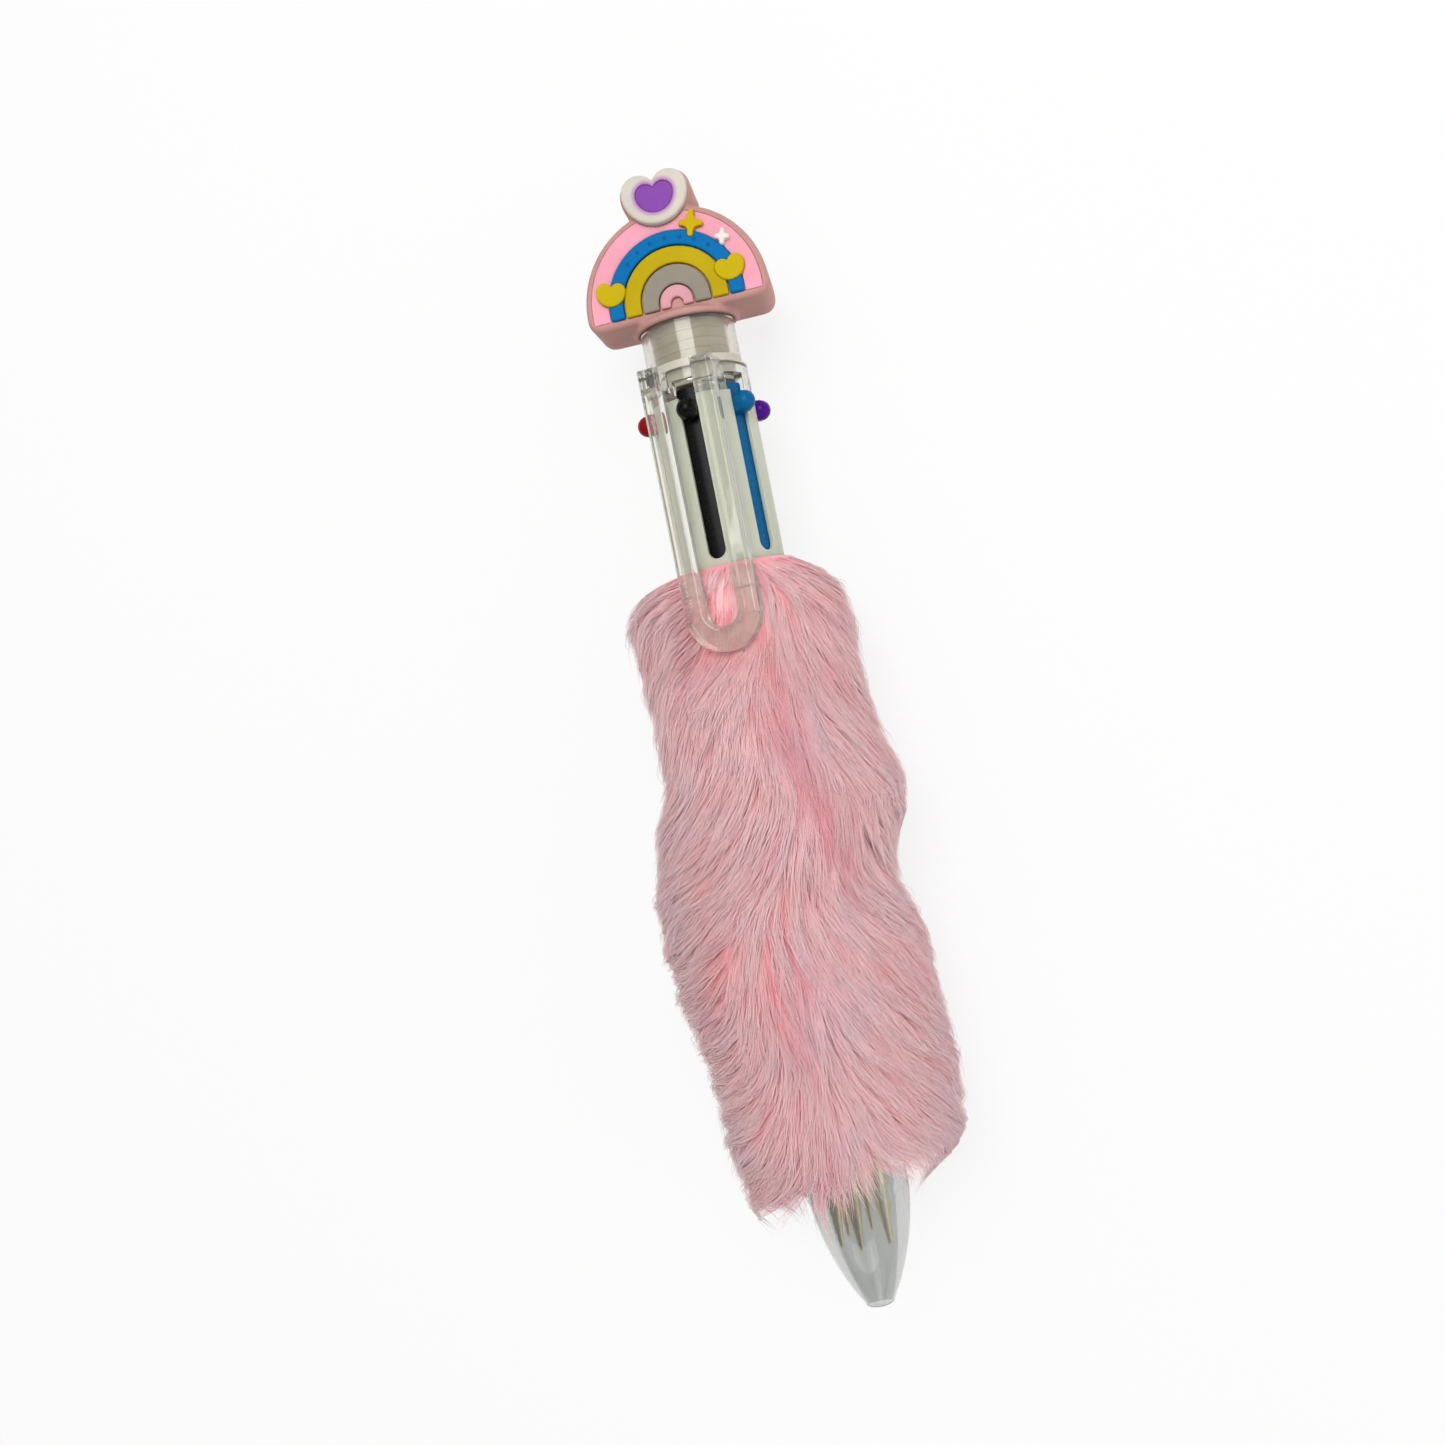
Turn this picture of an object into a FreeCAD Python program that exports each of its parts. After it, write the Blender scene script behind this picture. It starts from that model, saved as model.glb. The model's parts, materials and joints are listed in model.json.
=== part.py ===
"""A six-colour click pen with a plush sleeve, a hairpin clip and a soft rainbow topper.

Units are millimetres. The pen lies on its sleeve with its clip upwards.
Stations run along the pen's axis from the nozzle, and angles run round it from the clip.
While it is built, the axis is the Y axis and a station is a Y value.
The last step moves everything so that Z = 0 is the sleeve's flat underside.
"""
import FreeCAD
import Part
import math
import os

# Colours, in order round the barrel from the clip
COLOURS = ["black", "blue", "purple", "orange", "green", "red"]

# Refills
TUBE_RADIUS = 1.2
TUBE_WALL = 0.4
POINT_LENGTH = 14.0
POINT_PLUG_LENGTH = 3.0
NIB_RADIUS = 0.3
POINT_TAPER = 8.2
POINT_SHOULDER = 0.1
POINT_REST = 9.0
PLUG_GAP = 0.05

# Return springs
WIRE_RADIUS = 0.15
SPRING_GAP = 0.2
SPRING_SPACE = 0.3
SPRING_TURNS = 13
SPRING_LENGTH = 22.0

# Barrel
BARREL_WALL = 1.5
UPPER_WALL = 0.6
UPPER_RUNOUT = 1.0
BARREL_START = 22.0
BARREL_LENGTH = 104.0
BORE_GAP = 0.2
LOWER_BORE_STEP = 0.3
SLOT_WIDTH = 2.5
SLOT_LENGTH = 22.0

# Hub that the springs push on
HUB_THICKNESS = 4.0
HUB_FIT = 0.03
HUB_BORE_RADIUS = 1.2

# Tip cone
NOZZLE_RADIUS = 1.65
NOZZLE_RIM = 0.45
CONE_SKIRT = 6.0
CONE_MIDDLE = 6.8
CONE_MIDDLE_SHARE = 0.725
CONE_INNER_MIDDLE = 3.5
CONE_INNER_DROP = 2.38
CONE_BORE_STEP = 1.0
SPIGOT_LENGTH = 8.0
SPIGOT_WALL = 0.85
SPIGOT_GAP = 0.06

# Sliders and their ball knobs
SLIDER_TAIL = 2.0
SLIDER_HEAD = 1.2
SLIDER_TRAVEL = 11.0
SLOT_LAP = 0.35
SLIDING_GAP = 0.1
LEG_SPACE = 0.375
KNOB_RADIUS = 1.4
KNOB_SETBACK = 1.9
KNOB_STANDOFF = 1.0
STEM_LENGTH = 2.8
CAM_DEPTH = 1.2
CAM_WIDTH = 1.4
CAM_PLACE = 10.0
CAM_LENGTH = 7.0
CAM_SLOPE = 1.6
PIN_LENGTH = 5.0
LEG_ROUNDING = 0.3
STEM_ROUNDING_SHARE = 0.35
LEG_LAP = 0.5

# Collar with the hairpin clip
COLLAR_LENGTH = 4.0
COLLAR_SKIRT_GAP = 0.05
NOTCH_GAP = 0.05
NOTCH_ROOM = 1.2
CLIP_LEG = 2.9
CLIP_KNOB_GAP = 0.8
CLIP_LENGTH = 38.6
CLIP_BAND = 3.4
CLIP_STANDOFF = 1.9
CLIP_THICKNESS = 1.9
CLIP_ROOT = 3.0
CLIP_ROUNDING = 0.6
FOOT_PLACE = 4.5
FOOT_LENGTH = 3.6
FOOT_HEIGHT = 0.6

# Neck under the topper
NECK_STEP = 0.55
NECK_WALL = 1.2
NECK_LENGTH = 7.4
NECK_TOP_WALL = 0.8
NECK_POST_RADIUS = 2.4
NECK_POST_LENGTH = 6.6
PLUG_FLANGE = 1.2
PLUG_SKIRT = 2.0
PLUG_WALL = 1.1
PLUG_RIDGE = 0.15
PLUG_RIDGES = 3
NECK_PLUG_GAP = 0.1

# Topper; its ornaments are drawn for the drawn radius and grow with the topper
TOPPER_TURN = 9.0
TOPPER_RADIUS = 12.6
DRAWN_RADIUS = 12.6
TOPPER_THICKNESS = 10.8
TOPPER_LEG = 2.1
TOPPER_ROUNDING = 1.0
TOPPER_CORNER = 1.8
TOPPER_BOSS = 0.8
TOPPER_BOSS_HEIGHT = 0.8
FACE_INSET = 0.95
FACE_DEPTH = 1.0
BAND_RISE = 0.45
BAND_GROOVE = 0.2
BAND_ROUNDING = 0.2
BAND_COLOURS = ["pink", "grey", "yellow", "blue"]
BAND_EDGES = [(0.75, 0.4), (2.35, 0.6), (4.75, 0.95), (7.15, 0.95), (9.3, 0.95)]
HEART_LOBE = 0.27
SIDE_HEART_WIDTH = 4.1
SIDE_HEART_PLACES = [(-8.6, 2.3, -12.0), (7.9, 2.1, 12.0)]
HEART_RISE = 0.75
SPARKLE_ROUNDING = 0.12
SPARKLE_WAIST = 0.36
SPARKLE_BLUNT = 0.24
SPARKLE_TILT = -13.0
SPARKLE_SIZE = (3.3, 3.6)
SPARKLE_PLACE = (3.85, 9.15)
WHITE_SPARKLE_SIZE = (1.8, 2.0)
WHITE_SPARKLE_PLACE = (7.6, 6.4)
TOP_HEART_WIDTH = 9.0
TOP_HEART_PLACE = (-0.15, 13.45)
TOP_HEART_LAYER = 1.1
TOP_HEART_EDGE = 0.35
TOP_HEART_BACK = 0.8
CENTRE_WIDTH = 5.2
CENTRE_DEPTH = 0.6
CENTRE_THICKNESS = 0.4

# Plush sleeve
SLEEVE_GAP = 0.1
BACKING_THICKNESS = 0.8
BACKING_SETBACK = 2.0
SLOT_MARGIN = 2.0
PILE_LENGTH = 9.0
PILE_FRONT_LAP = 10.0
PILE_BACK_LAP = 2.0
PILE_ROUNDING = 5.5
PILE_FLAT = 1.3
CLIP_BED = 0.4

# How far a cutter runs past the piece it cuts
OVERCUT = 1.0

# Sizes that follow from the ones above
COUNT = len(COLOURS)
HALF_SECTOR = math.pi / COUNT
TUBE_BORE = TUBE_RADIUS - TUBE_WALL
PLUG_RADIUS = TUBE_BORE - PLUG_GAP
SPRING_RADIUS = TUBE_RADIUS + SPRING_GAP + 2 * WIRE_RADIUS
REFILL_CIRCLE = (SPRING_RADIUS + SPRING_SPACE / 2) / math.sin(HALF_SECTOR)
BARREL_BORE = REFILL_CIRCLE + SPRING_RADIUS + BORE_GAP
BARREL_END = BARREL_START + BARREL_LENGTH
SLOT_START = BARREL_END - SLOT_LENGTH
BARREL_RADIUS = BARREL_BORE + BARREL_WALL
LOWER_BORE = BARREL_BORE - LOWER_BORE_STEP
SPIGOT_BORE = REFILL_CIRCLE + TUBE_RADIUS + BORE_GAP
SPIGOT_RADIUS = SPIGOT_BORE + SPIGOT_WALL
CONE_ARC_END = BARREL_START - CONE_SKIRT
CONE_INNER_END = CONE_ARC_END + CONE_BORE_STEP
SLIDER_FOOT = SLOT_START - SLIDER_TAIL
SLIDER_TOP = BARREL_END + SLIDER_HEAD
KNOB_STATION = BARREL_END - KNOB_SETBACK
CAM_STATION = SLIDER_FOOT + CAM_PLACE
SPRING_START = SLIDER_FOOT - SPRING_LENGTH
HUB_START = SPRING_START - HUB_THICKNESS
SLIDER_WIDTH = SLOT_WIDTH + 2 * SLOT_LAP
LEG_INNER = (SLIDER_WIDTH / 2 * math.cos(HALF_SECTOR) + LEG_SPACE / 2) / math.sin(HALF_SECTOR)
UPPER_BORE = BARREL_RADIUS - UPPER_WALL
UPPER_START = SLIDER_FOOT - SLIDER_TRAVEL - UPPER_RUNOUT
LEG_OUTER = UPPER_BORE - SLIDING_GAP
KNOB_HEIGHT = BARREL_RADIUS + KNOB_STANDOFF
COLLAR_BORE = BARREL_BORE + COLLAR_SKIRT_GAP
COLLAR_END = BARREL_END + COLLAR_LENGTH
NOTCH_WIDTH = SLIDER_WIDTH + 2 * NOTCH_GAP
NOTCH_HEIGHT = SLIDER_HEAD + NOTCH_ROOM
CLIP_WIDTH = 2 * (KNOB_RADIUS + CLIP_KNOB_GAP + CLIP_LEG)
CLIP_END = COLLAR_END - CLIP_LENGTH
FOOT_START = CLIP_END + FOOT_PLACE
CLIP_UNDERSIDE = BARREL_RADIUS + CLIP_STANDOFF
CLIP_TOP = CLIP_UNDERSIDE + CLIP_THICKNESS
CLIP_LOW = BARREL_BORE / 3
NECK_RADIUS = BARREL_RADIUS - NECK_STEP
NECK_BORE = NECK_RADIUS - NECK_WALL
NECK_END = COLLAR_END + NECK_LENGTH
TOPPER_CENTRE = NECK_END + TOPPER_LEG
TOPPER_SCALE = TOPPER_RADIUS / DRAWN_RADIUS
FRONT = TOPPER_THICKNESS / 2
FACE_BACK = FRONT - FACE_DEPTH
FACE_START = NECK_END + FACE_INSET
BACKING_INNER = BARREL_RADIUS + SLEEVE_GAP
BACKING_OUTER = BACKING_INNER + BACKING_THICKNESS
BACKING_START = BARREL_START + BACKING_SETBACK
BACKING_END = SLOT_START - SLOT_MARGIN
PILE_START = BACKING_START - PILE_FRONT_LAP
PILE_END = BACKING_END + PILE_BACK_LAP
PILE_RADIUS = BACKING_OUTER + PILE_LENGTH
AXIS_HEIGHT = PILE_RADIUS - PILE_FLAT
HEART_BLOCK = TOP_HEART_WIDTH * TOPPER_SCALE + 2 * TOP_HEART_EDGE
PEN_END = TOPPER_CENTRE + TOP_HEART_PLACE[1] * TOPPER_SCALE + HEART_BLOCK * (0.5 + HEART_LOBE) / 2

ORIGIN = FreeCAD.Vector(0, 0, 0)
ALONG = FreeCAD.Vector(0, 1, 0)
UP = FreeCAD.Vector(0, 0, 1)
SIDE = FreeCAD.Vector(1, 0, 0)
TOLERANCE = 1e-4


def point(x, y, z=0.0):
    return FreeCAD.Vector(x, y, z)


def turned(edges_or_corners):
    """A solid turned about the pen's axis, from (radius, station) corners or from edges."""
    if isinstance(edges_or_corners[0], tuple):
        corners = [point(radius, station) for radius, station in edges_or_corners]
        wire = Part.makePolygon(corners + corners[:1])
    else:
        wire = Part.Wire(edges_or_corners)
    return Part.Face(wire).revolve(ORIGIN, ALONG, 360)


def ring(outer, inner, start, end):
    return turned([(inner, start), (outer, start), (outer, end), (inner, end)])


def rod(radius, start, end, height=0.0):
    """A cylinder along the pen, with its own axis at a height above the pen's axis."""
    return Part.makeCylinder(radius, end - start, point(0, start, height), ALONG)


def block(width, start, end, low, high):
    """A box centred across the pen, between two stations and two heights."""
    return Part.makeBox(width, end - start, high - low, point(-width / 2, start, low))


def around(shape, degrees):
    """Turn a shape about the pen's axis, from the clip's side towards +X."""
    turned_shape = shape.copy()
    turned_shape.rotate(ORIGIN, ALONG, degrees)
    return turned_shape


def angle_of(index):
    return 360.0 * index / COUNT


def ring_of(shape):
    """The shape repeated once for each colour."""
    return [around(shape, angle_of(index)) for index in range(COUNT)]


def arc(start, middle, end):
    return Part.Arc(start, middle, end).toShape()


def line(start, end):
    return Part.LineSegment(start, end).toShape()


def slab(wire, low, high):
    """A flat piece with this outline, between two heights."""
    face = Part.Face(wire)
    face.translate(point(0, 0, low))
    return face.extrude(UP * (high - low))


def scaled(size):
    """A topper ornament's sizes or place, grown from the drawn radius to the topper's own."""
    return tuple(value * TOPPER_SCALE for value in size)


def rim(shape, height):
    """The edges that lie flat at one height."""
    level = [edge for edge in shape.Edges if abs(edge.BoundBox.ZMin - height) < TOLERANCE]
    return [edge for edge in level if abs(edge.BoundBox.ZMax - height) < TOLERANCE]


def uprights(shape):
    """The edges that run straight up."""
    return [edge for edge in shape.Edges if edge.BoundBox.XLength + edge.BoundBox.YLength < TOLERANCE]


# ---- Refills ----


def metal_point():
    """The metal writing point, with the plug that holds it in its tube."""
    body = TUBE_RADIUS - POINT_SHOULDER
    end = POINT_REST + POINT_LENGTH
    shape = turned([
        (0, POINT_REST),
        (NIB_RADIUS * 0.6, POINT_REST),
        (NIB_RADIUS, POINT_REST + NIB_RADIUS),
        (body, POINT_REST + POINT_TAPER),
        (body, end),
        (PLUG_RADIUS, end),
        (PLUG_RADIUS, end + POINT_PLUG_LENGTH),
        (0, end + POINT_PLUG_LENGTH),
    ])
    shape.translate(UP * REFILL_CIRCLE)
    return shape


def refill_tube():
    shape = ring(TUBE_RADIUS, TUBE_BORE, POINT_REST + POINT_LENGTH, SLIDER_FOOT)
    shape.translate(UP * REFILL_CIRCLE)
    return shape


def spring():
    """A coil round the refill, from the hub to the slider's foot."""
    coil_radius = SPRING_RADIUS - WIRE_RADIUS
    rise = SPRING_LENGTH - 4 * WIRE_RADIUS
    path = Part.makeHelix(rise / SPRING_TURNS, rise, coil_radius)
    section = Part.Wire(Part.makeCircle(WIRE_RADIUS, point(coil_radius, 0), ALONG))
    coil = Part.Wire(path).makePipeShell([section], True, True)
    coil.rotate(ORIGIN, SIDE, -90)
    coil.translate(point(0, SPRING_START + 2 * WIRE_RADIUS, REFILL_CIRCLE))
    return coil


# ---- Barrel, hub and tip cone ----


def slot():
    """The cutter for one slot, open at the barrel's top end."""
    centre = SLOT_START + SLOT_WIDTH / 2
    high = BARREL_RADIUS + OVERCUT
    straight = block(SLOT_WIDTH, centre, BARREL_END + OVERCUT, LEG_INNER, high)
    end = Part.makeCylinder(SLOT_WIDTH / 2, high - LEG_INNER, point(0, centre, LEG_INNER), UP)
    return straight.fuse(end)


def barrel():
    seat = BARREL_START + SPIGOT_LENGTH + SPIGOT_GAP
    socket = SPIGOT_RADIUS + SPIGOT_GAP
    shape = turned([
        (socket, BARREL_START),
        (BARREL_RADIUS, BARREL_START),
        (BARREL_RADIUS, BARREL_END),
        (UPPER_BORE, BARREL_END),
        (UPPER_BORE, UPPER_START),
        (BARREL_BORE, UPPER_START),
        (BARREL_BORE, HUB_START),
        (LOWER_BORE, HUB_START),
        (LOWER_BORE, seat),
        (socket, seat),
    ])
    return shape.cut(ring_of(slot()))


def spring_hub():
    shape = ring(BARREL_BORE - HUB_FIT, HUB_BORE_RADIUS, HUB_START, SPRING_START)
    hole = rod(TUBE_RADIUS + SPRING_GAP, HUB_START - OVERCUT, SPRING_START + OVERCUT, REFILL_CIRCLE)
    return shape.cut(ring_of(hole))


def tip_cone():
    """The bullet-shaped cone, with the spigot that screws into the barrel."""
    rim_radius = NOZZLE_RADIUS + NOZZLE_RIM
    rounding = NOZZLE_RIM / 2
    spigot_end = BARREL_START + SPIGOT_LENGTH
    middle_radius = BARREL_RADIUS * CONE_MIDDLE_SHARE
    outline = [
        arc(
            point(NOZZLE_RADIUS, rounding),
            point(NOZZLE_RADIUS + rounding, 0),
            point(rim_radius, rounding),
        ),
        arc(
            point(rim_radius, rounding),
            point(middle_radius, CONE_MIDDLE),
            point(BARREL_RADIUS, CONE_ARC_END),
        ),
        line(point(BARREL_RADIUS, CONE_ARC_END), point(BARREL_RADIUS, BARREL_START)),
        line(point(BARREL_RADIUS, BARREL_START), point(SPIGOT_RADIUS, BARREL_START)),
        line(point(SPIGOT_RADIUS, BARREL_START), point(SPIGOT_RADIUS, spigot_end)),
        line(point(SPIGOT_RADIUS, spigot_end), point(SPIGOT_BORE, spigot_end)),
        line(point(SPIGOT_BORE, spigot_end), point(SPIGOT_BORE, CONE_INNER_END)),
        arc(
            point(SPIGOT_BORE, CONE_INNER_END),
            point(SPIGOT_BORE - CONE_INNER_DROP, CONE_INNER_MIDDLE),
            point(NOZZLE_RADIUS, rounding),
        ),
    ]
    return turned(outline)


# ---- Sliders ----


def slider():
    """One colour's slider: a leg in the barrel, a stem through the slot, a ball knob, a cam and a pin."""
    leg = block(SLIDER_WIDTH, SLIDER_FOOT, SLIDER_TOP, LEG_INNER, BARREL_RADIUS)
    top_edges = [edge for edge in uprights(leg) if edge.BoundBox.YMin > SLIDER_FOOT]
    leg = leg.makeFillet(LEG_ROUNDING, top_edges)
    leg = leg.common(rod(LEG_OUTER, SLIDER_FOOT, SLIDER_TOP))
    stem_start = KNOB_STATION - STEM_LENGTH / 2
    stem_width = SLOT_WIDTH - 2 * SLIDING_GAP
    lap = LEG_INNER + LEG_LAP
    stem = block(stem_width, stem_start, stem_start + STEM_LENGTH, lap, KNOB_HEIGHT)
    stem = stem.makeFillet(stem_width * STEM_ROUNDING_SHARE, uprights(stem))
    knob = Part.makeSphere(KNOB_RADIUS, point(0, KNOB_STATION, KNOB_HEIGHT))
    pin = rod(PLUG_RADIUS, SLIDER_FOOT - PIN_LENGTH, SLIDER_FOOT + LEG_LAP, REFILL_CIRCLE)
    cam_low = LEG_INNER - CAM_DEPTH
    cam_end = CAM_STATION + CAM_LENGTH
    profile = Part.makePolygon([
        point(-CAM_WIDTH / 2, CAM_STATION, lap),
        point(-CAM_WIDTH / 2, CAM_STATION + CAM_SLOPE, cam_low),
        point(-CAM_WIDTH / 2, cam_end - CAM_SLOPE, cam_low),
        point(-CAM_WIDTH / 2, cam_end, lap),
        point(-CAM_WIDTH / 2, CAM_STATION, lap),
    ])
    cam = Part.Face(profile).extrude(SIDE * CAM_WIDTH)
    return leg.fuse([stem, knob, pin, cam]).removeSplitter()


# ---- Collar with clip, and the neck ----


def hairpin_outline():
    """The clip's outline from above: two legs and the round end that joins them."""
    half = CLIP_WIDTH / 2
    centre = CLIP_END + CLIP_WIDTH / 2
    return Part.Wire([
        line(point(half, COLLAR_END), point(-half, COLLAR_END)),
        line(point(-half, COLLAR_END), point(-half, centre)),
        arc(point(-half, centre), point(0, centre - half), point(half, centre)),
        line(point(half, centre), point(half, COLLAR_END)),
    ])


def clip():
    """The hairpin clip, from its roots on the collar to its round end."""
    plate = slab(hairpin_outline(), CLIP_LOW, CLIP_TOP)
    gap = CLIP_WIDTH - 2 * CLIP_LEG
    gap_centre = CLIP_END + CLIP_BAND + gap / 2
    opening = block(gap, gap_centre, COLLAR_END + OVERCUT, 0, CLIP_TOP + OVERCUT)
    opening = opening.fuse(Part.makeCylinder(gap / 2, CLIP_TOP + OVERCUT, point(0, gap_centre), UP))
    plate = plate.cut(opening)
    plate = plate.makeFillet(CLIP_ROUNDING, rim(plate, CLIP_TOP))
    root_start = COLLAR_END - CLIP_ROOT
    foot_end = FOOT_START + FOOT_LENGTH
    foot_low = CLIP_UNDERSIDE - FOOT_HEIGHT
    across = CLIP_WIDTH + OVERCUT
    under_foot = block(across, FOOT_START, foot_end, 0, foot_low)
    before_foot = block(across, CLIP_END - OVERCUT, FOOT_START, 0, CLIP_UNDERSIDE)
    after_foot = block(across, foot_end, root_start, 0, CLIP_UNDERSIDE)
    inside = rod(COLLAR_BORE, root_start - OVERCUT, COLLAR_END + OVERCUT)
    return plate.cut([under_foot, before_foot, after_foot, inside])


def clip_collar():
    """The clear collar, notched over each slot, in one moulding with the clip."""
    collar = ring(BARREL_RADIUS, COLLAR_BORE, BARREL_END, COLLAR_END)
    root_start = COLLAR_END - CLIP_ROOT
    arm = clip().cut(ring(BARREL_RADIUS, COLLAR_BORE, root_start - OVERCUT, BARREL_END))
    notch_end = BARREL_END + NOTCH_HEIGHT
    notch = block(NOTCH_WIDTH, BARREL_END - OVERCUT, notch_end, LEG_INNER, CLIP_TOP + OVERCUT)
    return collar.fuse(arm).cut(ring_of(notch)).removeSplitter()


def neck_plug():
    """The white plug in the neck: a skirt in the collar, a flange and a ridged tube."""
    outer = NECK_BORE - NECK_PLUG_GAP - PLUG_RIDGE
    flange_end = COLLAR_END + PLUG_FLANGE
    end = NECK_END - NECK_TOP_WALL - NECK_PLUG_GAP
    skirt = COLLAR_BORE - COLLAR_SKIRT_GAP
    shape = turned([
        (outer - PLUG_WALL, COLLAR_END - PLUG_SKIRT),
        (skirt, COLLAR_END - PLUG_SKIRT),
        (skirt, COLLAR_END),
        (NECK_RADIUS, COLLAR_END),
        (NECK_RADIUS, flange_end),
        (outer, flange_end),
        (outer, end),
        (outer - PLUG_WALL, end),
    ])
    pitch = (end - flange_end) / (PLUG_RIDGES + 1)
    ridges = []
    for index in range(PLUG_RIDGES):
        middle = flange_end + pitch * (index + 1)
        ridges.append(turned([
            (outer - PLUG_WALL / 2, middle - PLUG_RIDGE),
            (outer, middle - PLUG_RIDGE),
            (outer + PLUG_RIDGE, middle),
            (outer, middle + PLUG_RIDGE),
            (outer - PLUG_WALL / 2, middle + PLUG_RIDGE),
        ]))
    return shape.fuse(ridges)


def neck_cap():
    """The clear cap over the plug, with the post that the topper is pushed onto."""
    start = COLLAR_END + PLUG_FLANGE
    return turned([
        (NECK_BORE, start),
        (NECK_RADIUS, start),
        (NECK_RADIUS, NECK_END),
        (NECK_POST_RADIUS, NECK_END),
        (NECK_POST_RADIUS, NECK_END + NECK_POST_LENGTH),
        (0, NECK_END + NECK_POST_LENGTH),
        (0, NECK_END - NECK_TOP_WALL),
        (NECK_BORE, NECK_END - NECK_TOP_WALL),
    ])


# ---- Topper ----


def dome_outline(radius, base, corner=0.0):
    """A half circle on short straight legs, with its lower corners rounded."""
    turn = corner * (1 - math.sqrt(0.5))
    edges = [
        line(point(-radius + corner, base), point(radius - corner, base)),
        line(point(radius, base + corner), point(radius, TOPPER_CENTRE)),
        arc(
            point(radius, TOPPER_CENTRE),
            point(0, TOPPER_CENTRE + radius),
            point(-radius, TOPPER_CENTRE),
        ),
        line(point(-radius, TOPPER_CENTRE), point(-radius, base + corner)),
    ]
    if corner > 0:
        edges.insert(1, arc(
            point(radius - corner, base),
            point(radius - turn, base + turn),
            point(radius, base + corner),
        ))
        edges.append(arc(
            point(-radius, base + corner),
            point(-radius + turn, base + turn),
            point(-radius + corner, base),
        ))
    return Part.Wire(edges)


def heart_outline(width, place, tilt=0.0):
    """A plump heart, two lobes on a half circle; place is its middle, from the topper's centre."""
    lobe = HEART_LOBE * width
    lobe_middle = width / 2 - lobe
    level = lobe_middle / 2
    cleft = point(0, level + math.sqrt(lobe ** 2 - lobe_middle ** 2))
    edges = [arc(point(width / 2, level), point(0, level - width / 2), point(-width / 2, level))]
    for side in (1, -1):
        top = point(side * lobe_middle, level + lobe)
        edges.append(arc(cleft, top, point(side * width / 2, level)))
    wire = Part.Wire(Part.__sortEdges__(edges))
    wire.rotate(ORIGIN, UP, tilt)
    wire.translate(point(place[0], TOPPER_CENTRE + place[1]))
    return wire


def sparkle_outline(size, place):
    """A plump four-pointed sparkle with hollow sides and round points."""
    across = size[0] / 2
    above = size[1] / 2
    blunt = SPARKLE_BLUNT * across
    edges = []
    for side in (1, -1):
        shoulder = side * (above - blunt)
        edges.append(arc(point(-blunt, shoulder), point(0, side * above), point(blunt, shoulder)))
        shoulder = side * (across - blunt)
        edges.append(arc(point(shoulder, -blunt), point(side * across, 0), point(shoulder, blunt)))
        for turn in (1, -1):
            tip = point(side * blunt, turn * (above - blunt))
            flank = point(side * (across - blunt), turn * blunt)
            hollow = point(side * across * SPARKLE_WAIST, turn * above * SPARKLE_WAIST)
            edges.append(arc(tip, hollow, flank))
    wire = Part.Wire(Part.__sortEdges__(edges))
    wire.rotate(ORIGIN, UP, SPARKLE_TILT)
    wire.translate(point(place[0], TOPPER_CENTRE + place[1]))
    return wire


def raised(outline, rise, rounding=BAND_ROUNDING):
    """A layer set in the face and standing proud of it, with a softened front edge."""
    shape = slab(outline, FACE_BACK, FRONT + rise)
    return shape.makeFillet(rounding, rim(shape, FRONT + rise))


def arch(radius, rise):
    """A half circle centred a rise above the face's lower edge, on straight legs down to that edge."""
    centre = FACE_START + rise
    return [
        line(point(radius, FACE_START), point(radius, centre)),
        arc(point(radius, centre), point(0, centre + radius), point(-radius, centre)),
        line(point(-radius, centre), point(-radius, FACE_START)),
    ]


def arc_band(index):
    """One arc of the rainbow, between two neighbouring edges and clear of the next arcs."""
    inner_radius, inner_rise = BAND_EDGES[index]
    outer_radius, outer_rise = BAND_EDGES[index + 1]
    inner = inner_radius * TOPPER_SCALE + BAND_GROOVE / 2
    outer = outer_radius * TOPPER_SCALE - BAND_GROOVE / 2
    edges = arch(outer, outer_rise)
    edges.append(line(point(-outer, FACE_START), point(-inner, FACE_START)))
    edges += reversed(arch(inner, inner_rise))
    edges.append(line(point(inner, FACE_START), point(outer, FACE_START)))
    return raised(Part.Wire(edges), BAND_RISE)


def rainbow_bed():
    """The whole rainbow's place in the face."""
    radius, rise = BAND_EDGES[-1]
    radius = radius * TOPPER_SCALE
    edges = arch(radius, rise)
    edges.append(line(point(-radius, FACE_START), point(radius, FACE_START)))
    return slab(Part.Wire(edges), FACE_BACK, FRONT)


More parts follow.
